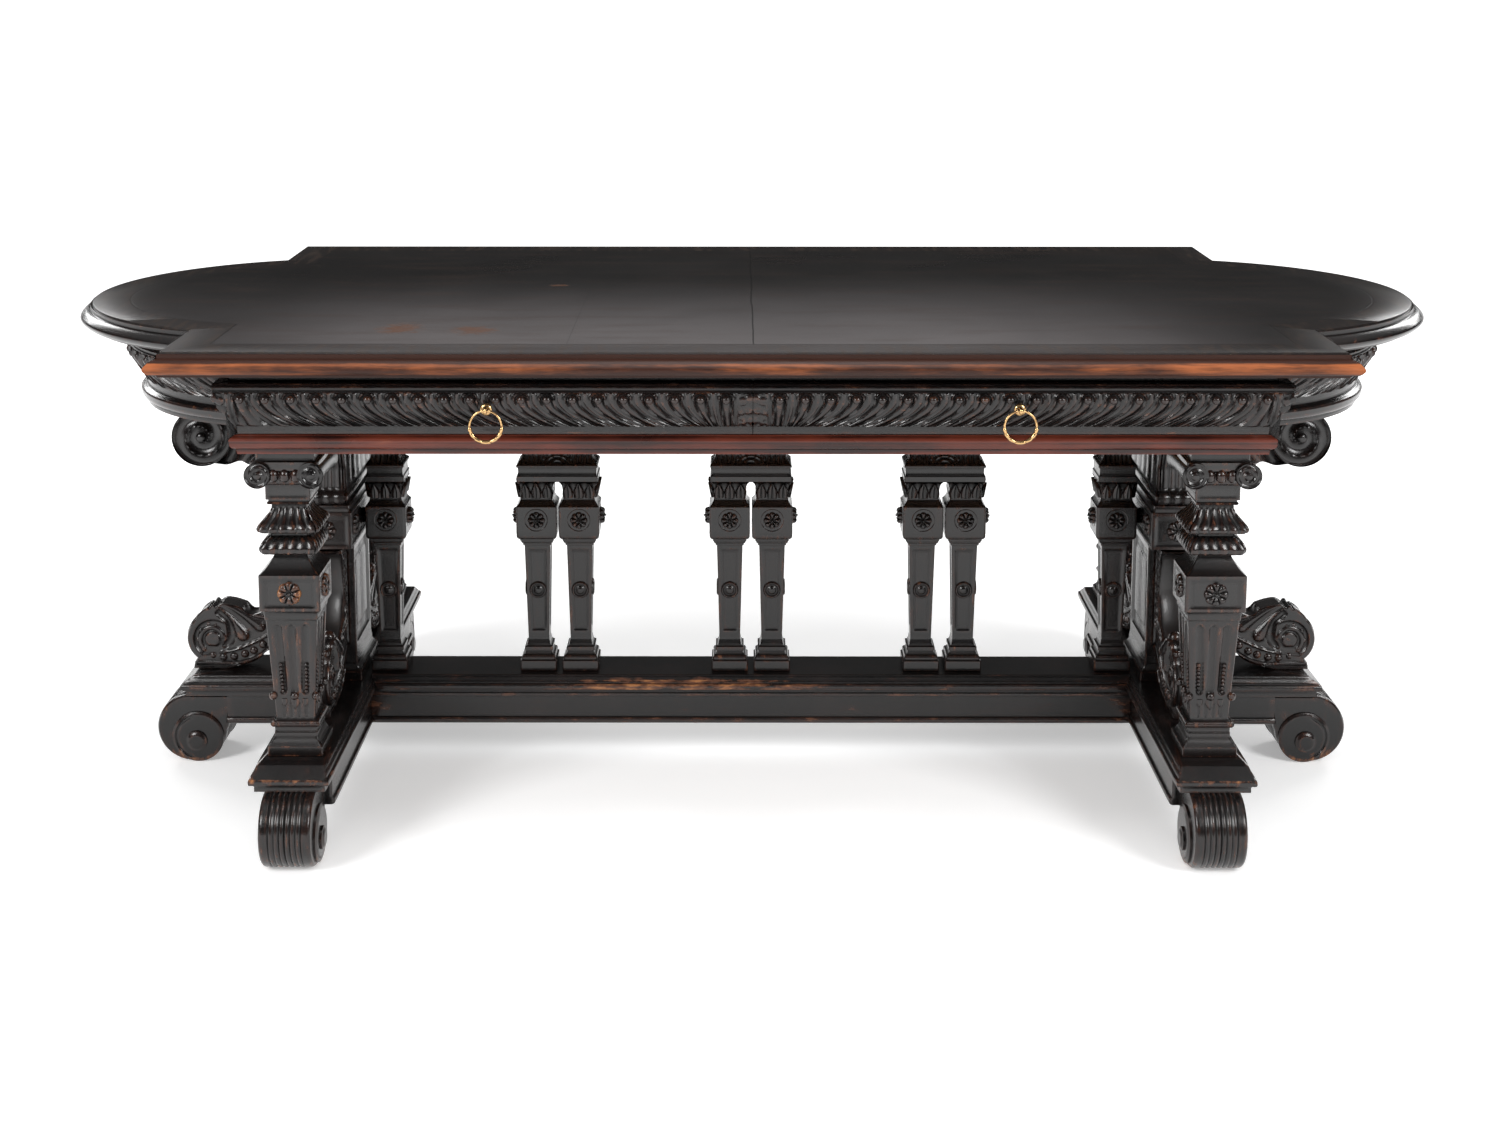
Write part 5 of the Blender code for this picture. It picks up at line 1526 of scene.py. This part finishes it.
def pier_shape():
    """The post in the middle of a trestle: moulded foot, panelled shaft, a rosette block and a
    leafy head that leans out to the front and the back."""
    up, halves = bow(PIER_KEYS, PIER_STEP)
    deeper = np.interp(up, *np.transpose(PIER_DEPTHS))
    parts = [post(up + LEG_BOTTOM, halves, halves + deeper, 36, pier_carving)]
    for side, reach, out in PIER_ROSETTES:
        turn = facing(side)
        flower = rosette(0.0175, 0.0060)
        spot = turn @ (reach, LEG_BOTTOM + PIER_ROSETTE_LEVEL, out - 0.0012)
        parts.append(flower.placed(turn, spot))
    for way in WAYS:
        roll = drum(0.0105, 0.0335, pitch=0.0070, depth=0.0016, skin_rise=small_reeds)
        turn = np.array([(0, way, 0), (-way, 0, 0), (0, 0, 1)], float)
        spot = (0.0, way * PIER_ROLL_OUT, LEG_BOTTOM + PIER_ROLL_LEVEL)
        parts.append(roll.placed(turn, spot))
    return joined(*parts)


PILASTER_KEYS = (
    (0.0, 0.0290, 0.0), (0.001, 0.0300, 0.0), (0.0170, 0.0300, 0.0), (0.0180, 0.0285, 0.0),
    (0.0185, 0.0272, 0.0), (0.0260, 0.0262, 0.0012), (0.0268, 0.0245, 0.0),
    (0.0335, 0.0215, -0.0010), (0.0342, 0.0232, 0.0), (0.0395, 0.0232, 0.0),
    (0.0440, 0.0190, -0.0010), (0.0525, 0.0172, 0.0), (0.2145, 0.0212, 0.0),
    (0.2150, 0.0232, 0.0), (0.2185, 0.0236, 0.0), (0.2190, 0.0250, 0.0),
    (0.2225, 0.0262, 0.0006), (0.2232, 0.0275, 0.0), (0.2265, 0.0278, 0.0),
    (0.2272, 0.0300, 0.0), (0.2350, 0.0330, 0.0012), (0.2386, 0.0333, 0.0),
    (0.2819, 0.0333, 0.0), (0.2935, 0.0262, -0.0008), (0.2945, 0.0268, 0.0),
    (0.3100, 0.0278, -0.0006), (0.3236, 0.0322, -0.0010), (0.3242, 0.0300, 0.0),
    (0.3300, 0.0300, 0.0),
)
HEAD_KEYS = (
    (0.3240, 0.0296, 0.0), (0.3251, 0.0316, 0.0), (0.3334, 0.0318, 0.0), (0.3340, 0.0302, 0.0),
    (0.3480, 0.0298, -0.0008), (0.3488, 0.0316, 0.0), (0.3530, 0.0316, 0.0006),
    (0.3684, 0.0232, -0.0018), (0.3860, 0.0226, 0.0),
    (0.4150, 0.0240, -0.0004), (0.4450, 0.0275, 0.0), (0.4600, 0.0297, 0.0),
    (LEG_HEIGHT, 0.0297, 0.0),
)


# Levels of a pilaster's carving, as heights over the beam
PILASTER_PANEL = (0.062, 0.212)
DISC_BAND = (0.2950, 0.3225)
HEAD_LEVELS = (0.3550, 0.4580)


def pilaster_carving(heights, across, side, half):
    """A panel line on the shaft, and a sunk ring on the block with two raised rounds on each face;
    the shaft's round medallion and the capital's three pointed leaves are added in pilaster_shape."""
    up = heights - LEG_BOTTOM
    place = across * half
    carved = sunk_panel(up, across, half, *PILASTER_PANEL, 0.0055, 0.0016)
    discs = np.hypot((np.abs(place) - 0.0115) / 0.0085, (up - 0.3020) / 0.0060)
    return carved + 0.0024 * hump(discs) - 0.0012 * window(up, *DISC_BAND, 0.004)


ARCH_RADIUS = 0.0260
ARCH_PITCH = 0.0080
ARCH_CENTRE = 0.3500


def head_carving(spread):
    """Arches one inside another in the middle of a pair's head, and upright flutes elsewhere."""

    def carving(heights, across, side, half):
        up, place = heights - LEG_BOTTOM, across * half
        wide = (side % 2 == 0) & (spread > 0)
        away = np.hypot(place, (up - ARCH_CENTRE) * 1.35)
        curved = np.abs(np.sin(math.pi * (away - ARCH_RADIUS) / ARCH_PITCH))
        upright = np.abs(np.sin(math.pi * (np.abs(place) - ARCH_RADIUS) / ARCH_PITCH))
        cut = np.where(wide & (away < ARCH_RADIUS), curved, upright)
        return -0.0030 * (1 - cut ** 0.8) * window(up, *HEAD_LEVELS, 0.004)

    return carving


PAIR_SPREAD = 0.035
# Height over the beam and distance from the middle
BLOCK_FLOWER = (0.2602, 0.0328)
MEDALLION = (0.1370, 0.0190)
CAPITAL_LEAF = (0.2970, 0.0262)
# Leaves on a pilaster's capital: place across, and length
LEAF_TIPS = ((-0.0180, 0.0240), (0.0, 0.0255), (0.0180, 0.0240))
# Turns a hanging leaf upright and leans its tip out
LEAN_OUT = np.array([(1.0, 0.0, 0.0), (0.0, -1.0, 0.0), (0.0, -0.20, 1.0)])


def ring_rise(distance, angle):
    """A thin raised ring at a disc's rim."""
    return 0.0014 * hump((distance - 0.90) / 0.09) - 0.0004


def medallion_rise(distance, angle):
    """A raised ring round a button."""
    return 0.0030 * hump((distance - 0.82) / 0.16) + 0.0030 * hump(distance / 0.50)


def pilaster_shape(spread):
    """One tapered pilaster, or two side by side, under a bracket head."""
    up, halves = bow(PILASTER_KEYS, PILASTER_STEP)
    shaft = post(up + LEG_BOTTOM, halves, columns=20, carving=pilaster_carving)
    parts = []
    for way in WAYS if spread else (0,):
        aside = (way * spread, 0.0, 0.0)
        parts.append(shaft.placed(shift=aside))
        sides = [0, 2] + [1] * (way >= 0) + [3] * (way <= 0)
        for side in sides:
            turn = facing(side)
            spot = turn @ (0.0, LEG_BOTTOM + BLOCK_FLOWER[0], BLOCK_FLOWER[1]) + aside
            flower = rosette(0.0145, 0.0100 if side % 2 else 0.0056)
            parts.append(flower.placed(turn, spot))
            parts.append(relief_disc(0.0205, ring_rise, rings=12).placed(turn, spot))
            spot = turn @ (0.0, LEG_BOTTOM + MEDALLION[0], MEDALLION[1]) + aside
            parts.append(relief_disc(0.0145, medallion_rise, rings=14).placed(turn, spot))
            for reach, long in LEAF_TIPS:
                spot = turn @ (reach, LEG_BOTTOM + CAPITAL_LEAF[0], CAPITAL_LEAF[1]) + aside
                leaf = leaf_tongue(0.0088, long, 0.0052).placed(LEAN_OUT)
                parts.append(leaf.placed(turn, spot))
    up, halves = bow(HEAD_KEYS, HEAD_STEP)
    columns = 54 if spread else 28
    carving = head_carving(spread)
    parts.append(post(up + LEG_BOTTOM, halves + spread, halves, columns, carving))
    return joined(*parts)


# Levels of a beam's cap, and how far its end slopes back
CAP_FOOT = 0.1140
CAP_EDGE = 0.1345
END_SLOPE = 0.0215


def beam_section(half, cap):
    """A beam's side as height and half width: a bead at the foot, a flat side, and a cap that
    steps out over the feet and slopes back at its top."""
    foot, top = BEAM_BOTTOM, BEAM_TOP
    keys = (
        (foot, half, 0.0), (foot + 0.0020, half + 0.003, 0.0), (foot + 0.0100, half + 0.003, 0.0012),
        (foot + 0.0120, half, 0.0), (0.1135, half, 0.0), (0.1145, half + 0.003, 0.0),
        (0.1185, half + 0.003, 0.0), (0.1255, cap - 0.004, -0.0012), (0.1262, cap, 0.0),
        (CAP_EDGE, cap, 0.0008), (0.1360, cap - 0.0016, 0.0), (0.1366, cap - 0.0030, 0.0),
        (0.1440, cap - 0.0060, 0.0006), (top - 0.0010, cap - 0.0075, 0.0),
        (top, cap - 0.0085, 0.0),
    )
    return bow(keys, BEAM_STEP)


def beam_reach(heights, halves, cap, body_reach, cap_reach):
    """How far a beam's end reaches at each height: the end overhangs the foot at the cap and
    slopes back above it."""
    reach = np.where(heights < CAP_FOOT, body_reach, cap_reach - (cap - halves))
    slope = np.clip((heights - CAP_EDGE) / (BEAM_TOP - CAP_EDGE), 0, 1)
    return np.where(heights > CAP_EDGE, cap_reach - END_SLOPE * slope, reach)


RING_RADIUS = 0.0228
RING_BAR = 0.0026
# The mount's turned profile as depth and radius: the nut, measured forward from its back end, then
# the shank, the plate and its dome, measured backward from the plate's rim
NUT_PROFILE = ((0.0, 0.0001), (0.0, 0.0060), (0.0028, 0.0062), (0.0034, 0.0026))
PLATE_PROFILE = (
    (0.0020, 0.0026), (0.0016, 0.0088), (0.0, 0.0089), (-0.0016, 0.0078), (-0.0026, 0.0060),
    (-0.0032, 0.0030), (-0.0034, 0.0001),
)
PLATE_BEHIND_BAR = 0.0090
EYE_RADIUS = 0.0042
# Half thickness of the eye along X and across it
EYE_THICKNESS = (0.0022, 0.0013)


# Angles from the ring's foot: where the garland ends, the side points, the bands beside the foot,
# and where the collar begins
GARLAND_END = (1.50, 1.30)
POINT_ANGLE = 1.42
BAND_ANGLE = 0.24
COLLAR_START = (2.85, 2.95)
PLAIN_BAR = 0.0017
THICKEST_BAR = 0.0028


def ring_shape(side):
    """The hanging ring: a plain round bar above, and below it a thicker leafy garland with a
    band at the bottom, a point at each side, and a collar under the knob."""
    turn, bar = full_turn(144)[:, None], full_turn(16)[None, :]
    from_foot = np.abs(turn - math.pi)
    leafy = ease(from_foot, *GARLAND_END)
    scales = arches(from_foot * 7.5 + np.abs(np.sin(bar)) * 0.9, 0.6)
    point = bell((from_foot - POINT_ANGLE) / 0.07)
    band = bell(from_foot / 0.09) + 0.8 * bell((from_foot - BAND_ANGLE) / 0.04)
    collar = ease(from_foot, *COLLAR_START)
    thick = PLAIN_BAR + leafy * (0.0002 + 0.0010 * scales) + 0.0012 * point + 0.0005 * band
    thick = np.minimum(thick + 0.0009 * collar, THICKEST_BAR)
    reach = RING_RADIUS + thick * np.cos(bar)
    ring = woven(reach * np.sin(turn), thick * np.sin(bar), reach * np.cos(turn), (True, True), False)
    low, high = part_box(f"{side}_drawer_pull_ring")
    return ring.placed(shift=(low + high) / 2)


def mount_shape(side):
    """The ring's mount: a domed plate against the drawer front, an eye round the ring's bar, and
    a shank through the front to a nut behind it."""
    low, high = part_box(f"{side}_drawer_pull_mount")
    ring_low, ring_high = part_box(f"{side}_drawer_pull_ring")
    x, z = (low.x + high.x) / 2, (low.z + high.z) / 2
    bar_y, bar_z = (ring_low.y + ring_high.y) / 2, ring_high.z - RING_BAR
    inner, outer = high.y, bar_y + PLATE_BEHIND_BAR
    turn, tube = full_turn(28)[None, :], full_turn(12)[:, None]
    reach = EYE_RADIUS + EYE_THICKNESS[1] * np.cos(tube)
    along_x = EYE_THICKNESS[0] * np.sin(tube)
    eye = woven(along_x, reach * np.cos(turn), reach * np.sin(turn), (True, True), False)
    line = [(inner - back, radius) for back, radius in NUT_PROFILE]
    line += [(outer + back, radius) for back, radius in PLATE_PROFILE]
    depth, radius = (column[:, None] for column in np.transpose(line))
    body = woven(x + radius * np.cos(turn), depth, z + radius * np.sin(turn))
    return joined(body, eye.placed(shift=(x, bar_y, bar_z)))


RAW_WORDS = ("cheek", "runner", "divider", "centre_rail", "_side", "bottom", "drawer_back")
LONG_WORDS = ("beam", "stretcher", "front_top_rail")


def name_has(name, words):
    return any(word in name for word in words)


def finish_solids(finishes):
    """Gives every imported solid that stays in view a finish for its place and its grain."""
    for name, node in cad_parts.items():
        finish = finishes["upright"]
        if name_has(name, RAW_WORDS):
            finish = finishes["raw"]
        if name_has(name, LONG_WORDS):
            finish = finishes["long"]
        if "pull" in name:
            finish = finishes["brass"]
        for index in range(len(node.data.materials)):
            node.data.materials[index] = finish


def dress_top(finishes):
    finished("tabletop", top_panel(), finishes["top"], nodes=["top_panel"])
    section = edge_section()
    for name, way in ENDS:
        shape = straight_moulding(*section, TOP_SIZES, way)
        nodes = [f"{name}_edge_moulding"]
        finished(f"{name}_nosing", shape, finishes["worn"], nodes=nodes)
    for name, side in SIDES:
        shape = lobed_moulding(*section[:2], section[2] * 0.15, TOP_SIZES, side)
        finished(f"{name}_nosing", shape, finishes["deep"], nodes=[f"{name}_edge_moulding"])


def dress_frieze(finishes):
    heights, outs = bow(rail_keys())
    outs = np.concatenate([outs, (-FRIEZE_THICKNESS, -FRIEZE_THICKNESS)])
    heights = np.concatenate([heights, (heights[-1], heights[0])])
    shape = straight_moulding(outs, heights, np.zeros(len(outs)), FRIEZE_SIZES, -1)
    nodes = ["front_lower_rail"]
    finished("front_bead_rail", shape, finishes["red"], nodes=nodes)
    front = straight_front(FRIEZE_SIZES[0], BAND_KEYS)
    back = straight_front(FRIEZE_SIZES[0], whole_frieze_keys()).placed(MIRROR_Y)
    shape = joined(back, back.placed(MIRROR_X))
    finished("gadrooned_back", shape, finishes["long"], nodes=["back_frieze"])
    for name, side in SIDES:
        shape = front if side > 0 else front.placed(MIRROR_X)
        body, nodes = f"{name}_drawer", [f"{name}_drawer_front"]
        finished(f"{name}_gadrooned_front", shape, finishes["long"], body, nodes)
        nodes = [f"{name}_end_frieze"]
        finished(f"{name}_lobe_frieze", end_frieze(side), finishes["deep"], nodes=nodes)
        nodes = [f"{name}_drawer_pull_ring"]
        finished(f"{name}_ring", ring_shape(name), finishes["brass"], f"{name}_ring", nodes)
        nodes = [f"{name}_drawer_pull_mount"]
        shape = mount_shape(name)
        finished(f"{name}_ring_mount", shape, finishes["brass"], body, nodes)


# Half widths at the side and at the cap
BEAM_HALVES = (0.050, 0.0595)
STRETCHER_HALVES = (0.046, 0.053)
# Gaps between the cross beams and what meets them
STRETCHER_GAP = 0.0006
OUT_BEAM_GAP = 0.0003
# How far a beam's end reaches under the cap and at it
CROSS_REACH = (0.380, 0.4545)
OUT_REACH = (0.189, 0.263)
# How much wear is added to each leg, and to the rosettes of the chipped one
LEG_WEAR = {"left_front": 0.030, "right_front": 0.010, "left_back": 0.010, "right_back": 0.010}
CHIPPED_ROSETTES = 0.32


def dress_ends(finishes):
    """Both trestles' legs, feet, consoles and brackets."""
    leg, chipped_leg, bracket = leg_shape(), leg_shape(CHIPPED_ROSETTES), bracket_shape()
    side_console = console_shape(SIDE_ROOT, SIDE_CLIMB, False)
    end_console = console_shape(END_ROOT, END_CLIMB, True)
    end_foot, outer_foot = foot_shape(*END_FOOT), foot_shape(*OUTER_FOOT)
    for name, side in SIDES:
        place = (side * TRESTLE_X, 0.0, 0.0)
        turned = outward(side)
        pieces = [
            (f"{name}_outer_scroll_foot", outer_foot, turned, f"{name}_outer_foot"),
            (f"{name}_outer_scroll_console", side_console, turned, f"{name}_outer_console"),
            (f"{name}_scroll_bracket", bracket, turned, f"{name}_upper_bracket"),
        ]
        for end, way in ENDS:
            along = np.array([(0.0, way, 0.0), (way, 0.0, 0.0), (0.0, 0.0, 1.0)])
            label = f"{name}_{end}"
            pieces.append((f"{label}_scroll_foot", end_foot, along, f"{label}_foot"))
            pieces.append((f"{label}_scroll_console", end_console, along, f"{label}_console"))
            shape = chipped_leg if label == "left_front" else leg
            shape = shape.placed(turned, (side * TRESTLE_X, way * LEG_Y, 0.0))
            worn = ebonised(f"ebonised_{label}_leg", GRAIN_UP, LEG_WEAR[label])
            finished(f"{label}_carved_leg", shape, worn, nodes=[f"{label}_leg"])
        for title, shape, matrix, node in pieces:
            finished(title, shape.placed(matrix, place), finishes["upright"], nodes=[node])


CAP_WEAR = 0.34
CAP_WORN_LEVELS = (0.1290, 0.1366)
# Where the wear of the caps sets in, along Y on the cross beams and along X on the out beams
CROSS_END_WEAR = (0.40, 0.45)
OUT_END_WEAR = (0.84, 0.92)
STRETCHER_WEAR = 0.60


def cap_worn(shape):
    """A beam whose cap edge is worn at the ends."""
    x, y, z = shape.points.T
    at_end = np.maximum(ease(np.abs(y), *CROSS_END_WEAR), ease(np.abs(x), *OUT_END_WEAR))
    return shape.worn(CAP_WEAR * window(z, *CAP_WORN_LEVELS, 0.004) * at_end)


def dress_middle(finishes):
    """The beams, the stretcher, the piers and the arcade of pilasters."""
    pier = pier_shape()
    heights, halves = beam_section(*BEAM_HALVES)
    cross_reach = beam_reach(heights, halves, BEAM_HALVES[1], *CROSS_REACH)
    out_reach = beam_reach(heights, halves, BEAM_HALVES[1], *OUT_REACH)
    for name, side in SIDES:
        place = (side * TRESTLE_X, 0.0, 0.0)
        turned = outward(side)
        shape = pier.placed(turned, place)
        finished(f"{name}_carved_pier", shape, finishes["upright"], nodes=[f"{name}_pier"])
        shape = cap_worn(post(heights, halves, cross_reach, 24).placed(shift=place))
        nodes = [f"{name}_cross_beam"]
        finished(f"{name}_moulded_cross_beam", shape, finishes["deep"], nodes=nodes)
        start = halves + OUT_BEAM_GAP
        shape = post(heights, (out_reach - start) / 2, halves, 16)
        shape.points[:, 0] += np.interp(shape.points[:, 2], heights, (out_reach + start) / 2)
        nodes = [f"{name}_out_beam"]
        shape = cap_worn(shape.placed(turned, place))
        finished(f"{name}_moulded_out_beam", shape, finishes["long"], nodes=nodes)
        shape = pilaster_shape(0.0).placed(shift=(side * END_PILASTER_X, 0.0, 0.0))
        nodes = [f"{name}_end_pilaster"]
        finished(f"{name}_end_carved_pilaster", shape, finishes["upright"], nodes=nodes)
    cross_halves = halves
    levels, halves = beam_section(*STRETCHER_HALVES)
    ends = TRESTLE_X - np.interp(levels, heights, cross_halves) - STRETCHER_GAP
    shape = post(levels, ends, halves, 44)
    x, y, z = shape.points.T
    rubbed = ease(z, 0.122, 0.130) * ease(z, 0.1490, 0.1400) * ease(np.abs(x + 0.10), 0.30, 0.10)
    shape = shape.worn(STRETCHER_WEAR * rubbed * (y < 0))
    finish = finishes["stretcher"]
    finished("moulded_stretcher", shape, finish, nodes=["stretcher"])
    for name, x in (("left", -PAIR_X), ("middle", 0.0), ("right", PAIR_X)):
        shape = pilaster_shape(PAIR_SPREAD).placed(shift=(x, 0.0, 0.0))
        nodes = [f"{name}_pilaster_pair"]
        finished(f"{name}_carved_pair", shape, finishes["upright"], nodes=nodes)


def main():
    finishes = {
        "upright": ebonised("ebonised_upright", GRAIN_UP),
        "long": ebonised("ebonised_long", GRAIN_LONG),
        "deep": ebonised("ebonised_deep", GRAIN_DEEP),
        "stretcher": ebonised("ebonised_stretcher", GRAIN_LONG, wear=0.02),
        "worn": worn_edge(),
        "red": red_polish(),
        "raw": drawer_wood(),
        "brass": aged_brass(),
        "top": polished_top(),
    }
    finish_solids(finishes)
    dress_top(finishes)
    dress_frieze(finishes)
    dress_ends(finishes)
    dress_middle(finishes)


DIRECT_RAYS = ("Is Camera Ray", "Is Glossy Ray", "Is Transmission Ray")
FLOOR_WHITES = ((0.88, 0.88, 0.88), (0.91, 0.91, 0.91))
BLACK = (0.0, 0.0, 0.0)
WHITE = (1.0, 1.0, 1.0)
# The room's light from the height where it starts to the top
ROOM_LIGHT = (("From Min", 0.3), ("From Max", 1.0), ("To Min", 0.03), ("To Max", 0.70))


def pale_floor():
    """White paper: seen directly or in a polish it brightens with the distance from the table, so
    that it runs into the white surroundings, while its shadows stay."""
    r = Recipe("pale_floor")
    x, y = r.axis("X"), r.axis("Y")
    distance = (x ** 2 + y ** 2) ** 0.5
    path = [r.node("ShaderNodeLightPath", None, None, ray) for ray in DIRECT_RAYS]
    direct = path[0].most(path[1]).most(path[2])
    glow = direct * (0.34 + 0.66 * distance.rise(1.3, 3.2))
    grain = r.noise(3.0)
    return r.surface(
        Base_Color=r.blend(grain, *FLOOR_WHITES),
        Roughness=0.85,
        Emission_Color=r.blend(glow, BLACK, WHITE),
        Emission_Strength=1.0,
    )


def surroundings():
    """A dim room that is lighter overhead; where the camera looks past the floor it is white."""
    world = bpy.data.worlds.new("studio")
    world.use_nodes = True
    tree = world.node_tree
    spot = tree.nodes.new("ShaderNodeTexCoord")
    split = tree.nodes.new("ShaderNodeSeparateXYZ")
    height = tree.nodes.new("ShaderNodeMapRange")
    rays = tree.nodes.new("ShaderNodeLightPath")
    strength = tree.nodes.new("ShaderNodeMath")
    strength.operation = "MAXIMUM"
    for socket, value in ROOM_LIGHT:
        height.inputs[socket].default_value = value
    tree.links.new(spot.outputs["Generated"], split.inputs["Vector"])
    tree.links.new(split.outputs["Z"], height.inputs["Value"])
    tree.links.new(height.outputs["Result"], strength.inputs[0])
    tree.links.new(rays.outputs["Is Camera Ray"], strength.inputs[1])
    background = tree.nodes["Background"]
    background.inputs["Color"].default_value = (*WHITE, 1.0)
    tree.links.new(strength.outputs["Value"], background.inputs["Strength"])
    return world


FLOOR_CORNERS = ((-30, -12, 0), (30, -12, 0), (30, 60, 0), (-30, 60, 0))
SENSOR_WIDTH = 36.0
LAMP_AIM = Vector((0.0, 0.0, 0.4))
# Name, place, size of the square and power of each lamp
LAMPS = (
    ("key_left", (-2.8, -2.8, 2.2), 1.3, 108.0),
    ("key_right", (2.8, -2.8, 2.2), 1.3, 108.0),
    ("overhead", (0.0, -0.6, 3.4), 1.8, 50.0),
    ("over_back", (0.0, 1.6, 2.6), 1.4, 8.0),
    ("back_left", (-3.0, 2.6, 2.0), 1.2, 40.0),
    ("back_right", (3.0, 2.6, 2.0), 1.2, 40.0),
)


def studio():
    """A pale floor, soft lamps on both sides and overhead, and the photograph's camera."""
    floor_mesh = bpy.data.meshes.new("floor")
    floor_mesh.from_pydata(FLOOR_CORNERS, [], [(0, 1, 2, 3)])
    floor_mesh.materials.append(pale_floor())
    floor = bpy.data.objects.new("floor", floor_mesh)
    bpy.context.scene.collection.objects.link(floor)
    for name, place, size, energy in LAMPS:
        lamp = bpy.data.lights.new(name, "AREA")
        lamp.shape = "SQUARE"
        lamp.size = size
        lamp.energy = energy
        light = bpy.data.objects.new(name, lamp)
        light.location = place
        aim = LAMP_AIM - light.location
        light.rotation_euler = aim.to_track_quat("-Z", "Y").to_euler()
        light.visible_camera = False
        bpy.context.scene.collection.objects.link(light)
    bpy.context.scene.world = surroundings()
    lens = bpy.data.cameras.new("camera")
    lens.lens = CAMERA_LENS
    lens.sensor_width = SENSOR_WIDTH
    lens.shift_x, lens.shift_y = CAMERA_SHIFT
    camera = bpy.data.objects.new("camera", lens)
    camera.location = CAMERA_PLACE
    camera.rotation_euler = (math.pi / 2 - CAMERA_DROP, 0.0, CAMERA_TURN)
    bpy.context.scene.collection.objects.link(camera)
    bpy.context.scene.camera = camera
    bpy.context.scene.view_settings.view_transform = "Standard"


main()
studio()
